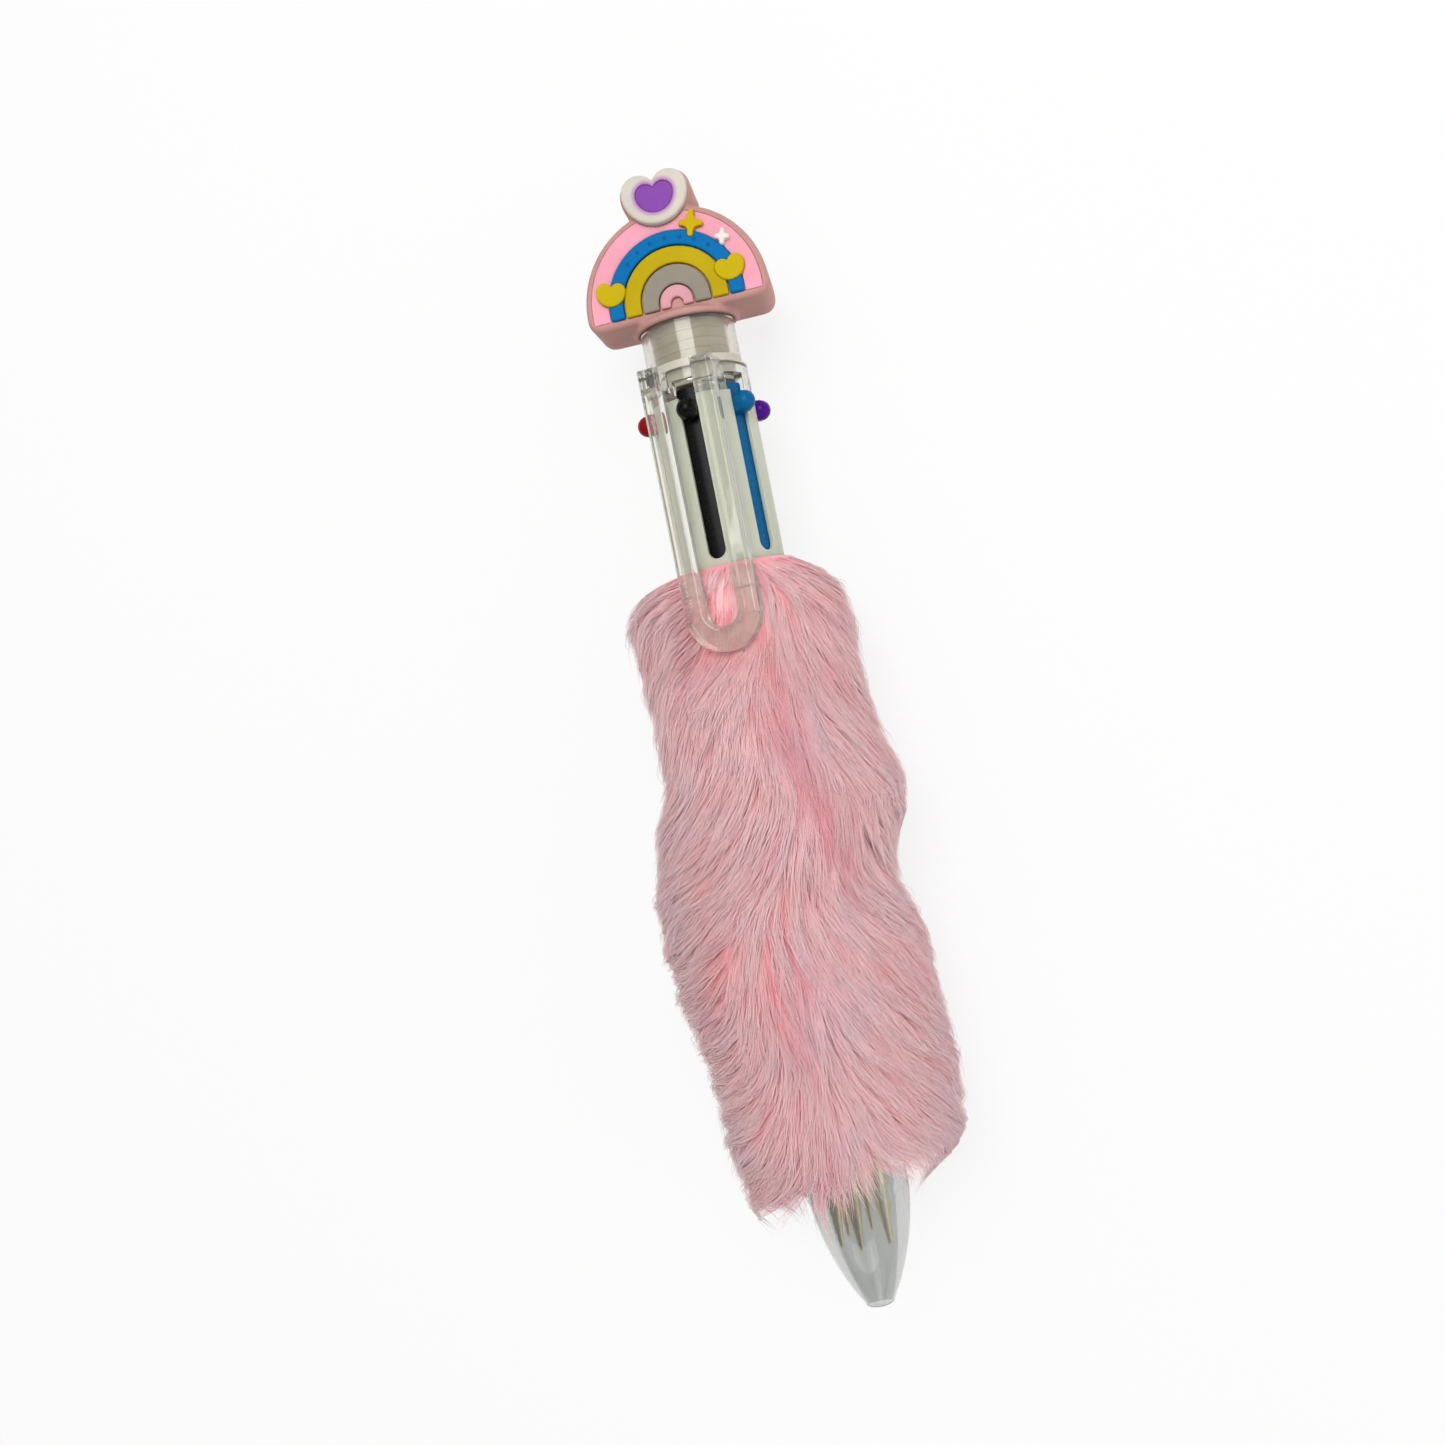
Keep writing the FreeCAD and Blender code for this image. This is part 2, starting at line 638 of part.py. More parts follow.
def topper_pieces():
    """Every layer of the topper, cut so that the layers lie against each other."""
    side_width = SIDE_HEART_WIDTH * TOPPER_SCALE
    side_hearts = [raised(heart_outline(side_width, scaled((x, y)), tilt), HEART_RISE)
                   for x, y, tilt in SIDE_HEART_PLACES]
    sparkle_shape = sparkle_outline(scaled(SPARKLE_SIZE), scaled(SPARKLE_PLACE))
    sparkle = raised(sparkle_shape, HEART_RISE, SPARKLE_ROUNDING)
    white_outline = sparkle_outline(scaled(WHITE_SPARKLE_SIZE), scaled(WHITE_SPARKLE_PLACE))
    white_sparkle = raised(white_outline, HEART_RISE, SPARKLE_ROUNDING)
    ornaments = side_hearts + [sparkle, white_sparkle]
    bands = {colour: arc_band(index).cut(ornaments) for index, colour in enumerate(BAND_COLOURS)}

    face = slab(dome_outline(TOPPER_RADIUS - FACE_INSET, FACE_START), FACE_BACK, FRONT)
    body = slab(dome_outline(TOPPER_RADIUS, NECK_END, TOPPER_CORNER), -FRONT, FRONT)
    body = body.makeFillet(TOPPER_ROUNDING, rim(body, FRONT) + rim(body, -FRONT))

    layer_front = FRONT + TOP_HEART_LAYER
    heart_place = scaled(TOP_HEART_PLACE)
    heart_block = slab(heart_outline(HEART_BLOCK, heart_place), -FRONT + TOP_HEART_BACK, FRONT)
    heart_block = heart_block.makeFillet(TOP_HEART_EDGE, rim(heart_block, FRONT))
    heart_layer = slab(heart_outline(HEART_BLOCK - 2 * TOP_HEART_EDGE, heart_place), FRONT, layer_front)
    heart_layer = heart_layer.makeFillet(TOP_HEART_EDGE, rim(heart_layer, layer_front))
    pocket_floor = layer_front - CENTRE_DEPTH
    centre_outline = heart_outline(CENTRE_WIDTH * TOPPER_SCALE, heart_place)
    pocket = slab(centre_outline, pocket_floor, layer_front + OVERCUT)
    centre_front = pocket_floor + CENTRE_THICKNESS
    centre = slab(centre_outline, pocket_floor, centre_front)

    boss_radius = NECK_RADIUS + TOPPER_BOSS
    boss_end = FACE_START - BAND_GROOVE / 2
    boss = turned([
        (NECK_RADIUS, NECK_END - TOPPER_BOSS_HEIGHT),
        (boss_radius, NECK_END - TOPPER_BOSS_HEIGHT),
        (boss_radius, NECK_END),
        (FRONT, boss_end),
        (NECK_POST_RADIUS, boss_end),
        (NECK_POST_RADIUS, NECK_END),
        (NECK_RADIUS, NECK_END),
    ])
    socket = rod(NECK_POST_RADIUS, NECK_END, NECK_END + NECK_POST_LENGTH)
    body = body.fuse([heart_block, boss])
    face = face.cut([rainbow_bed(), heart_block] + ornaments)
    body = body.cut([socket, face] + list(bands.values()) + ornaments)

    pieces = {"topper_body": body, "topper_face": face}
    for colour, band in bands.items():
        pieces["topper_arc_" + colour] = band
    pieces["topper_side_hearts"] = Part.makeCompound(side_hearts)
    pieces["topper_sparkle_yellow"] = sparkle
    pieces["topper_sparkle_white"] = white_sparkle
    pieces["topper_heart"] = heart_layer.cut(pocket)
    pieces["topper_heart_centre"] = centre
    return {name: around(shape, TOPPER_TURN) for name, shape in pieces.items()}


# ---- Plush sleeve ----


def sleeve_backing():
    return ring(BACKING_OUTER, BACKING_INNER, BACKING_START, BACKING_END)


def fur_pile():
    """The outer shape of the fur, flat underneath, with a bed for the clip's end."""
    inner = BACKING_OUTER
    low = PILE_START
    high = PILE_END
    corner = PILE_ROUNDING
    turn = corner * (1 - math.sqrt(0.5))
    pile = turned([
        line(point(inner, low), point(PILE_RADIUS - corner, low)),
        arc(
            point(PILE_RADIUS - corner, low),
            point(PILE_RADIUS - turn, low + turn),
            point(PILE_RADIUS, low + corner),
        ),
        line(point(PILE_RADIUS, low + corner), point(PILE_RADIUS, high - corner)),
        arc(
            point(PILE_RADIUS, high - corner),
            point(PILE_RADIUS - turn, high - turn),
            point(PILE_RADIUS - corner, high),
        ),
        line(point(PILE_RADIUS - corner, high), point(inner, high)),
        line(point(inner, high), point(inner, low)),
    ])
    underneath = block(3 * PILE_RADIUS, low - OVERCUT, high + OVERCUT, -2 * PILE_RADIUS, -AXIS_HEIGHT)
    bed_low = CLIP_UNDERSIDE - FOOT_HEIGHT - CLIP_BED
    bed_width = CLIP_WIDTH + 2 * CLIP_BED
    bed = block(bed_width, CLIP_END - CLIP_BED, high + OVERCUT, bed_low, PILE_RADIUS + OVERCUT)
    return pile.cut([underneath, bed])


def all_pieces():
    pieces = {
        "barrel": barrel(),
        "spring_hub": spring_hub(),
        "tip_cone": tip_cone(),
        "clip_collar": clip_collar(),
        "neck_plug": neck_plug(),
        "neck_cap": neck_cap(),
        "sleeve_backing": sleeve_backing(),
        "fur_pile": fur_pile(),
    }
    pieces.update(topper_pieces())
    each_colour = {
        "slider": slider(),
        "refill_tube": refill_tube(),
        "refill_point": metal_point(),
        "spring": spring(),
    }
    for kind, shape in each_colour.items():
        for index, colour in enumerate(COLOURS):
            pieces[kind + "_" + colour] = around(shape, angle_of(index))
    return pieces


os.makedirs("parts", exist_ok=True)
for node, solid in all_pieces().items():
    solid.translate(point(0, -PEN_END / 2, AXIS_HEIGHT))
    solid.exportStep("parts/" + node + ".step")
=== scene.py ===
"""The looks of a six-colour click pen with a plush sleeve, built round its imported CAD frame.

The pen lies along Y, with its topper at +Y and its clip up. Sizes are in millimetres until a mesh is made.
A station is a distance along the pen's axis from the nozzle. An angle, in degrees, runs round the axis from
the clip towards +X.
"""
import json
import math

import bmesh
import bpy
import numpy as np
from mathutils import Matrix, Vector
from mathutils.bvhtree import BVHTree
from mathutils.kdtree import KDTree


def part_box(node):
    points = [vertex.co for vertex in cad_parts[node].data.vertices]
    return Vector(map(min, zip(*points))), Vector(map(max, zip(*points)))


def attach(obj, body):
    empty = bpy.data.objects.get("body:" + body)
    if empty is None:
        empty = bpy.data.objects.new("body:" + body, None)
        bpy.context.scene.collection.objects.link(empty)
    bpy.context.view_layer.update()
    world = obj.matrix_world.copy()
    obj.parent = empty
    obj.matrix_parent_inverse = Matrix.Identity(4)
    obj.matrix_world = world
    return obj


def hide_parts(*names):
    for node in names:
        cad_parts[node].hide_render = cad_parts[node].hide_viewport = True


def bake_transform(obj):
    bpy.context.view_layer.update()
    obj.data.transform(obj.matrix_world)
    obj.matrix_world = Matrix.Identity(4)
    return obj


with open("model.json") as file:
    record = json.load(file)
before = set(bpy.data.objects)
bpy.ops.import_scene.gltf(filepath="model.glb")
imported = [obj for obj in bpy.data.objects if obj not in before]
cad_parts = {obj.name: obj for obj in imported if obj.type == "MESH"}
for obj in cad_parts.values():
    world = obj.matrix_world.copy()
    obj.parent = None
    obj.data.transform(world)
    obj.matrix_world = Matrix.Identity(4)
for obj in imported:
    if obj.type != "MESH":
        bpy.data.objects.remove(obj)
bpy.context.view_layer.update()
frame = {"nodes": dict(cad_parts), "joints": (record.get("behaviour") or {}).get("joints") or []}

MM = 0.001
NODES = frame["nodes"]
COLOURS = ["black", "blue", "purple", "orange", "green", "red"]

# Where the pen's axis lies, read from the frame
CONE_LOW, CONE_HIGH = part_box("tip_cone")
NOZZLE_Y = CONE_LOW.y
AXIS_Z = (CONE_LOW.z + CONE_HIGH.z) / 2
BACKING_LOW, BACKING_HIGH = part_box("sleeve_backing")
BACKING_RADIUS = (BACKING_HIGH.x - BACKING_LOW.x) / 2 / MM
FLOOR_DEPTH = AXIS_Z / MM
CLIP_END = (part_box("clip_collar")[0].y - NOZZLE_Y) / MM


def place(x, station, z):
    """A point in the row frame, in metres, from the pen's own millimetres."""
    return Vector((x * MM, NOZZLE_Y + station * MM, AXIS_Z + z * MM))


def smooth_step(value, low, high):
    """0 below low, 1 above high, and a soft rise between them."""
    share = np.clip((value - low) / (high - low), 0, 1)
    return share * share * (3 - 2 * share)


def to_world(points):
    """Many points at once: an array of (x, station, z) in millimetres to row coordinates."""
    world = np.array(points, float) * MM
    world[:, 1] += NOZZLE_Y
    world[:, 2] += AXIS_Z
    return world


# ---- Camera, floor and light ----

CAMERA_STATION = 82.5
CAMERA_DISTANCE = 185.0
CAMERA_ROLL = 17.0
CAMERA_SIDE = -5.8
CAMERA_LEAN = 11.25
CAMERA_LENS = 33.4

# Each lamp's place from the middle of the view (towards the camera, right, up), its size and its power
LAMPS = {
    "key": ((0.62, -0.16, 0.22), (0.42, 0.42), 3.15),
    "fill": ((0.36, 0.42, -0.1), (0.3, 0.5), 0.48),
    "low": ((0.3, 0.0, -0.55), (0.5, 0.15), 0.32),
}
LAMP_TARGET_STATION = 75

WORLD_COLOUR = (1.0, 0.99, 0.98)
WORLD_STRENGTH = 0.45
# What shiny surfaces mirror beyond the floor: soft bands from dark to light
ROOM_DARK = 0.12
ROOM_LIGHT = 0.9
ROOM_BANDS = 1.6

FLOOR_HALF = 1.5
FLOOR_PAPER = 0.86
FLOOR_GLOW = 0.8


def camera_axes():
    """The directions towards the camera, to its right and up its picture."""
    roll = math.radians(CAMERA_ROLL)
    lean = math.radians(CAMERA_LEAN)
    towards = Vector((math.sin(roll), 0, math.cos(roll)))
    across = Vector((math.cos(roll), 0, -math.sin(roll)))
    along = Vector((0, 1, 0))
    right = across * math.cos(lean) - along * math.sin(lean)
    up = along * math.cos(lean) + across * math.sin(lean)
    return towards, across, right, up


def make_camera():
    towards, across, right, up = camera_axes()
    data = bpy.data.cameras.new("camera")
    data.lens = CAMERA_LENS
    data.sensor_width = 36.0
    data.clip_start = 0.01
    data.clip_end = 20.0
    camera = bpy.data.objects.new("camera", data)
    bpy.context.scene.collection.objects.link(camera)
    spot = place(0, CAMERA_STATION, 0) + towards * CAMERA_DISTANCE * MM + across * CAMERA_SIDE * MM
    turn = Matrix((right, up, towards)).transposed().to_4x4()
    camera.matrix_world = Matrix.Translation(spot) @ turn
    bpy.context.scene.camera = camera


def area_light(name, spot, target, size, power):
    data = bpy.data.lights.new(name, "AREA")
    data.shape = "RECTANGLE"
    data.size, data.size_y = size
    data.energy = power
    lamp = bpy.data.objects.new(name, data)
    bpy.context.scene.collection.objects.link(lamp)
    lamp.location = spot
    lamp.rotation_mode = "QUATERNION"
    lamp.rotation_quaternion = (target - spot).to_track_quat("-Z", "Y")


def make_lights():
    """Soft studio light: a wide key near the camera, a weaker fill at the right, a low one at the nozzle."""
    towards, _, right, up = camera_axes()
    target = place(0, LAMP_TARGET_STATION, 0)
    for name, (reach, size, power) in LAMPS.items():
        spot = target + towards * reach[0] + right * reach[1] + up * reach[2]
        area_light(name, spot, target, size, power)


def make_world():
    """Even light all round, banded where shiny surfaces mirror it, and plain white where it is seen."""
    world = bpy.data.worlds.new("studio")
    bpy.context.scene.world = world
    world.use_nodes = True
    tree = world.node_tree
    light = tree.nodes["Background"]
    light.inputs["Color"].default_value = WORLD_COLOUR + (1,)
    light.inputs["Strength"].default_value = WORLD_STRENGTH
    coordinates = tree.nodes.new("ShaderNodeTexCoord")
    bands = tree.nodes.new("ShaderNodeTexNoise")
    bands.inputs["Scale"].default_value = ROOM_BANDS
    bands.inputs["Detail"].default_value = 1.0
    tones = tree.nodes.new("ShaderNodeValToRGB")
    tones.color_ramp.elements[0].position = 0.4
    tones.color_ramp.elements[0].color = (ROOM_DARK, ROOM_DARK, ROOM_DARK, 1)
    tones.color_ramp.elements[1].position = 0.6
    tones.color_ramp.elements[1].color = (ROOM_LIGHT, ROOM_LIGHT, ROOM_LIGHT, 1)
    room = tree.nodes.new("ShaderNodeBackground")
    backdrop = tree.nodes.new("ShaderNodeBackground")
    backdrop.inputs["Color"].default_value = (1, 1, 1, 1)
    rays = tree.nodes.new("ShaderNodeLightPath")
    mirrored = tree.nodes.new("ShaderNodeMixShader")
    seen = tree.nodes.new("ShaderNodeMixShader")
    link = tree.links.new
    link(coordinates.outputs["Generated"], bands.inputs["Vector"])
    link(bands.outputs["Fac"], tones.inputs["Fac"])
    link(tones.outputs["Color"], room.inputs["Color"])
    link(rays.outputs["Is Glossy Ray"], mirrored.inputs["Fac"])
    link(light.outputs[0], mirrored.inputs[1])
    link(room.outputs[0], mirrored.inputs[2])
    link(rays.outputs["Is Camera Ray"], seen.inputs["Fac"])
    link(mirrored.outputs[0], seen.inputs[1])
    link(backdrop.outputs[0], seen.inputs[2])
    link(seen.outputs[0], tree.nodes["World Output"].inputs["Surface"])


def make_floor():
    """A pale floor that shows white to the camera, in metal and through glass, and keeps shadows."""
    mesh = bpy.data.meshes.new("floor")
    corners = [(-1, -1), (1, -1), (1, 1), (-1, 1)]
    mesh.from_pydata([(x * FLOOR_HALF, y * FLOOR_HALF, 0) for x, y in corners], [], [(0, 1, 2, 3)])
    floor = bpy.data.objects.new("floor", mesh)
    bpy.context.scene.collection.objects.link(floor)
    material = bpy.data.materials.new("floor_white")
    material.use_nodes = True
    tree = material.node_tree
    tree.nodes.clear()
    paper = tree.nodes.new("ShaderNodeBsdfDiffuse")
    paper.inputs["Color"].default_value = (FLOOR_PAPER, FLOOR_PAPER, FLOOR_PAPER, 1)
    glow = tree.nodes.new("ShaderNodeEmission")
    glow.inputs["Color"].default_value = (1, 1, 1, 1)
    glow.inputs["Strength"].default_value = 1.0
    rays = tree.nodes.new("ShaderNodeLightPath")
    seen = tree.nodes.new("ShaderNodeMath")
    seen.operation = "MAXIMUM"
    seen_through = tree.nodes.new("ShaderNodeMath")
    seen_through.operation = "MAXIMUM"
    share = tree.nodes.new("ShaderNodeMath")
    share.operation = "MULTIPLY"
    share.inputs[1].default_value = FLOOR_GLOW
    mix = tree.nodes.new("ShaderNodeMixShader")
    output = tree.nodes.new("ShaderNodeOutputMaterial")
    link = tree.links.new
    link(rays.outputs["Is Camera Ray"], seen.inputs[0])
    link(rays.outputs["Is Glossy Ray"], seen.inputs[1])
    link(seen.outputs[0], seen_through.inputs[0])
    link(rays.outputs["Is Transmission Ray"], seen_through.inputs[1])
    link(seen_through.outputs[0], share.inputs[0])
    link(share.outputs[0], mix.inputs["Fac"])
    link(paper.outputs[0], mix.inputs[1])
    link(glow.outputs[0], mix.inputs[2])
    link(mix.outputs[0], output.inputs["Surface"])
    mesh.materials.append(material)


# ---- Materials ----


class Surface:
    """A node material with one Principled shader, and short ways to drive its inputs."""

    def __init__(self, name, **settings):
        self.material = bpy.data.materials.new(name)
        self.material.use_nodes = True
        self.tree = self.material.node_tree
        self.shader = self.tree.nodes["Principled BSDF"]
        for socket, value in settings.items():
            self.set(socket.replace("_", " "), value)
        self.coordinates = self.node("ShaderNodeTexCoord").outputs["Object"]

    def set(self, socket, value):
        if isinstance(value, tuple) and len(value) == 3 and socket != "Subsurface Radius":
            value = value + (1,)
        self.shader.inputs[socket].default_value = value

    def node(self, kind, **inputs):
        made = self.tree.nodes.new(kind)
        for name, value in inputs.items():
            made.inputs[name.replace("_", " ")].default_value = value
        return made

    def link(self, source, target):
        self.tree.links.new(source, target)

    def stretched(self, scale):
        """The object's own coordinates, stretched by a factor on each axis."""
        mapping = self.node("ShaderNodeMapping")
        mapping.inputs["Scale"].default_value = scale
        self.link(self.coordinates, mapping.inputs["Vector"])
        return mapping.outputs["Vector"]

    def noise(self, scale, detail=2.0, vector=None):
        """Noise with about this many cells to a metre."""
        made = self.node("ShaderNodeTexNoise", Scale=scale, Detail=detail)
        self.link(vector or self.coordinates, made.inputs["Vector"])
        return made.outputs["Fac"]

    def ramp(self, factor, stops):
        made = self.node("ShaderNodeValToRGB")
        elements = made.color_ramp.elements
        while len(elements) < len(stops):
            elements.new(0.5)
        for element, (position, colour) in zip(elements, stops):
            element.position = position
            element.color = tuple(colour) + (1,)
        self.link(factor, made.inputs["Fac"])
        return made.outputs["Color"]

    def colour(self, source):
        self.link(source, self.shader.inputs["Base Color"])

    def roughness(self, factor, low, high):
        made = self.node("ShaderNodeMapRange")
        made.inputs["To Min"].default_value = low
        made.inputs["To Max"].default_value = high
        self.link(factor, made.inputs["Value"])
        self.link(made.outputs["Result"], self.shader.inputs["Roughness"])

    def let_lamps_in(self, tint):
        """Lamps reach what is inside: their rays pass straight through, a little dimmed."""
        passing = self.node("ShaderNodeBsdfTransparent")
        passing.inputs["Color"].default_value = tuple(tint) + (1,)
        rays = self.node("ShaderNodeLightPath")
        mix = self.node("ShaderNodeMixShader")
        self.link(rays.outputs["Is Shadow Ray"], mix.inputs["Fac"])
        self.link(self.shader.outputs[0], mix.inputs[1])
        self.link(passing.outputs[0], mix.inputs[2])
        self.link(mix.outputs[0], self.tree.nodes["Material Output"].inputs["Surface"])

    def bump(self, height, strength, distance):
        made = self.node("ShaderNodeBump", Strength=strength, Distance=distance)
        self.link(height, made.inputs["Height"])
        self.link(made.outputs["Normal"], self.shader.inputs["Normal"])


def shade(colour, factor):
    return tuple(min(1.0, channel * factor) for channel in colour)


def soft_rubber(name, colour):
    """Soft moulded rubber: slightly uneven colour, a fine grain and a dull sheen."""
    surface = Surface(name, Specular_IOR_Level=0.05, Subsurface_Weight=0.12, Subsurface_Scale=0.001)
    surface.set("Subsurface Radius", (1.0, 0.5, 0.4))
    patches = surface.noise(260, 3)
    surface.colour(surface.ramp(patches, [(0.3, shade(colour, 0.93)), (0.7, shade(colour, 1.05))]))
    surface.roughness(surface.noise(900), 0.42, 0.58)
    surface.bump(surface.noise(5000, 3), 0.15, 0.00008)
    return surface.material


def blushing_rubber(name, colour, blush):
    """Soft rubber that takes on a second colour where the "blush" attribute says, with a soft edge."""
    material = soft_rubber(name, colour)
    tree = material.node_tree
    shader = tree.nodes["Principled BSDF"]
    grain = shader.inputs["Base Color"].links[0].from_socket
    share = tree.nodes.new("ShaderNodeAttribute")
    share.attribute_name = "blush"
    mix = tree.nodes.new("ShaderNodeMix")
    mix.data_type = "RGBA"
    mix.inputs[7].default_value = tuple(blush) + (1,)
    tree.links.new(share.outputs["Fac"], mix.inputs[0])
    tree.links.new(grain, mix.inputs[6])
    tree.links.new(mix.outputs[2], shader.inputs["Base Color"])
    return material


def gloss_plastic(name, colour):
    """Hard shiny moulded plastic with faint flow marks and handling haze."""
    surface = Surface(name, Specular_IOR_Level=0.1, Coat_Weight=0.03, Coat_Roughness=0.1)
    flow = surface.noise(300, 2, surface.stretched((1.0, 0.25, 1.0)))
    surface.colour(surface.ramp(flow, [(0.3, shade(colour, 0.9)), (0.7, shade(colour, 1.1))]))
    surface.roughness(surface.noise(1400), 0.22, 0.34)
    surface.bump(surface.noise(700, 2), 0.06, 0.0001)
    return surface.material


def milky_plastic():
    """The barrel: white plastic that lets a little light in."""
    surface = Surface("milky_plastic", Specular_IOR_Level=0.35)
    surface.set("Subsurface Weight", 0.35)
    surface.set("Subsurface Scale", 0.002)
    surface.set("Subsurface Radius", (1.0, 1.0, 0.8))
    flow = surface.noise(160, 3, surface.stretched((1.0, 0.3, 1.0)))
    surface.colour(surface.ramp(flow, [(0.3, (0.53, 0.56, 0.44)), (0.7, (0.60, 0.62, 0.50))]))
    surface.roughness(surface.noise(1200), 0.3, 0.42)
    surface.bump(surface.noise(500, 2), 0.02, 0.0001)
    return surface.material


def white_plastic():
    surface = Surface("white_plastic", Subsurface_Weight=0.3, Subsurface_Scale=0.002)
    surface.set("Subsurface Radius", (1.0, 1.0, 0.9))
    flow = surface.noise(200, 3)
    surface.colour(surface.ramp(flow, [(0.3, (0.58, 0.56, 0.45)), (0.7, (0.68, 0.66, 0.54))]))
    surface.roughness(surface.noise(1500), 0.3, 0.42)
    surface.bump(surface.noise(900, 2), 0.06, 0.0001)
    return surface.material


def clear_plastic(name, tint, clearness, low, high):
    """See-through moulded plastic; its haze varies a little from place to place."""
    surface = Surface(name, Transmission_Weight=clearness, IOR=1.45)
    flow = surface.noise(220, 2)
    surface.colour(surface.ramp(flow, [(0.3, shade(tint, 0.98)), (0.7, tint)]))
    surface.roughness(surface.noise(1300), low, high)
    surface.bump(surface.noise(450, 1), 0.03, 0.0002)
    surface.let_lamps_in((0.35, 0.35, 0.35))
    return surface.material


def frosted_plastic():
    """The tip cone: see-through, with a milky haze and faint moulding lines round it."""
    surface = Surface("frosted_plastic", Transmission_Weight=0.95, IOR=1.42)
    flow = surface.noise(200, 2)
    surface.colour(surface.ramp(flow, [(0.3, (0.59, 0.60, 0.59)), (0.7, (0.65, 0.66, 0.65))]))
    surface.roughness(surface.noise(900), 0.02, 0.05)
    surface.bump(surface.noise(300, 1, surface.stretched((0.2, 2.0, 0.2))), 0.02, 0.0002)
    surface.let_lamps_in((0.9, 0.9, 0.9))
    return surface.material


def turned_metal(name, colour, low, high):
    """Bright machined metal with fine turning marks round its length."""
    surface = Surface(name, Metallic=1.0)
    marks = surface.noise(6000, 3, surface.stretched((0.05, 1.0, 0.05)))
    surface.colour(surface.ramp(marks, [(0.3, shade(colour, 0.92)), (0.7, colour)]))
    surface.roughness(marks, low, high)
    surface.bump(marks, 0.03, 0.00005)
    return surface.material


def refill_plastic(name, ink):
    """A thin plastic tube with the ink showing through it, paler in streaks along its length."""
    surface = Surface(name, Coat_Weight=0.2, Subsurface_Weight=0.1, Subsurface_Scale=0.001)
    ramp_input = surface.noise(500, 2, surface.stretched((1.0, 0.2, 1.0)))
    pale = tuple(0.55 + 0.35 * channel for channel in ink)
    surface.colour(surface.ramp(ramp_input, [(0.35, shade(ink, 1.1)), (0.75, shade(pale, 0.7))]))
    surface.roughness(surface.noise(1200), 0.25, 0.4)
    surface.bump(surface.noise(900, 2), 0.05, 0.0001)
    return surface.material


def knitted_fabric():
    """The sleeve's backing: a close knit in the fur's colour, with painted shade in the knit's hollows."""
    surface = Surface("knitted_fabric", Roughness=0.9, Sheen_Weight=0.3)
    knit = surface.node("ShaderNodeTexWave", Scale=700.0, Distortion=1.5, Detail=1.0)
    surface.link(surface.coordinates, knit.inputs["Vector"])
    knit_height = knit.outputs["Fac"]
    # Painted shade: the colour follows the knit's height, darker in its hollows and lighter on its raised
    # loops
    surface.colour(surface.ramp(knit_height, [(0.2, (0.50, 0.20, 0.22)), (0.8, (0.72, 0.36, 0.38))]))
    surface.bump(knit_height, 0.5, 0.0003)
    return surface.material


# The fur's colour from root to tip, darker at the root, and what it is multiplied by: in patches, by painted
# shade in the parting groove (darker and rosier) together with rosy flecks, and by hair
HAIR_LENGTHWISE = [(0.0, (0.98, 0.40, 0.43)), (0.35, (1.0, 0.58, 0.60)), (1.0, (1.0, 0.78, 0.78))]
COAT_LENGTHWISE = [(0.0, (0.88, 0.36, 0.40)), (1.0, (1.0, 0.50, 0.54))]
FUR_PATCHES = [(0.36, (1.0, 0.92, 0.93)), (0.5, (1, 1, 1)), (0.66, (0.94, 0.96, 1.0))]
# Painted shade: the colour that hairs in the parting groove are multiplied down to, darker and rosier; the
# random rosy flecks take it too
FUR_PARTING_SHADE_AND_FLECKS = [(0.0, (1, 1, 1)), (1.0, (0.93, 0.66, 0.72))]
FUR_TINTS = [(0.0, (0.94, 0.71, 0.74)), (0.45, (1.0, 0.95, 0.95)), (1.0, (1, 1, 1))]


def fur_material(name, lengthwise):
    """Fur: darker at the root, paler at the tip, varied from hair to hair, with rosy flecks, and painted
    darker and rosier in the groove where it parts, as painted shade.
    """
    surface = Surface(name, Sheen_Weight=0.5, Specular_IOR_Level=0.2)
    surface.set("Sheen Roughness", 0.5)

    def attribute(title):
        made = surface.node("ShaderNodeAttribute")
        made.attribute_name = title
        return made.outputs["Fac"]

    def blend(kind, factor, below, above):
        made = surface.node("ShaderNodeMix")
        made.data_type = "RGBA"
        made.blend_type = kind
        if isinstance(factor, float):
            made.inputs[0].default_value = factor
        else:
            surface.link(factor, made.inputs[0])
        surface.link(below, made.inputs[6])
        surface.link(above, made.inputs[7])
        return made.outputs[2]

    colour = surface.ramp(attribute("along"), lengthwise)
    patches = surface.ramp(surface.noise(95, 2), FUR_PATCHES)
    colour = blend("MULTIPLY", 1.0, colour, patches)
    # Painted shade in the parting groove, mixed with rosy flecks
    parting = surface.ramp(attribute("parting_shade_and_flecks"), FUR_PARTING_SHADE_AND_FLECKS)
    colour = blend("MULTIPLY", 1.0, colour, parting)
    tint = attribute("tint")
    colour = blend("MULTIPLY", 1.0, colour, surface.ramp(tint, FUR_TINTS))
    surface.colour(colour)
    surface.roughness(tint, 0.5, 0.7)
    return surface.material


SLIDER_COLOURS = {
    "black": (0.003, 0.003, 0.003), "blue": (0.0, 0.115, 0.29), "purple": (0.075, 0.004, 0.24),
    "orange": (0.80, 0.16, 0.01), "green": (0.01, 0.26, 0.06), "red": (0.26, 0.004, 0.006),
}
TOPPER_COLOURS = {
    "topper_body": (0.53, 0.29, 0.26),
    "topper_face": (0.86, 0.37, 0.46),
    "topper_arc_blue": (0.0, 0.155, 0.42),
    "topper_arc_yellow": (0.50, 0.37, 0.003),
    "topper_arc_grey": (0.29, 0.26, 0.21),
    "topper_arc_pink": (0.67, 0.34, 0.38),
    "topper_side_hearts": (0.55, 0.41, 0.003),
    "topper_sparkle_yellow": (0.60, 0.41, 0.003),
    "topper_sparkle_white": (0.86, 0.76, 0.73),
    "topper_heart": (0.64, 0.60, 0.52),
    "topper_heart_centre": (0.24, 0.07, 0.38),
}
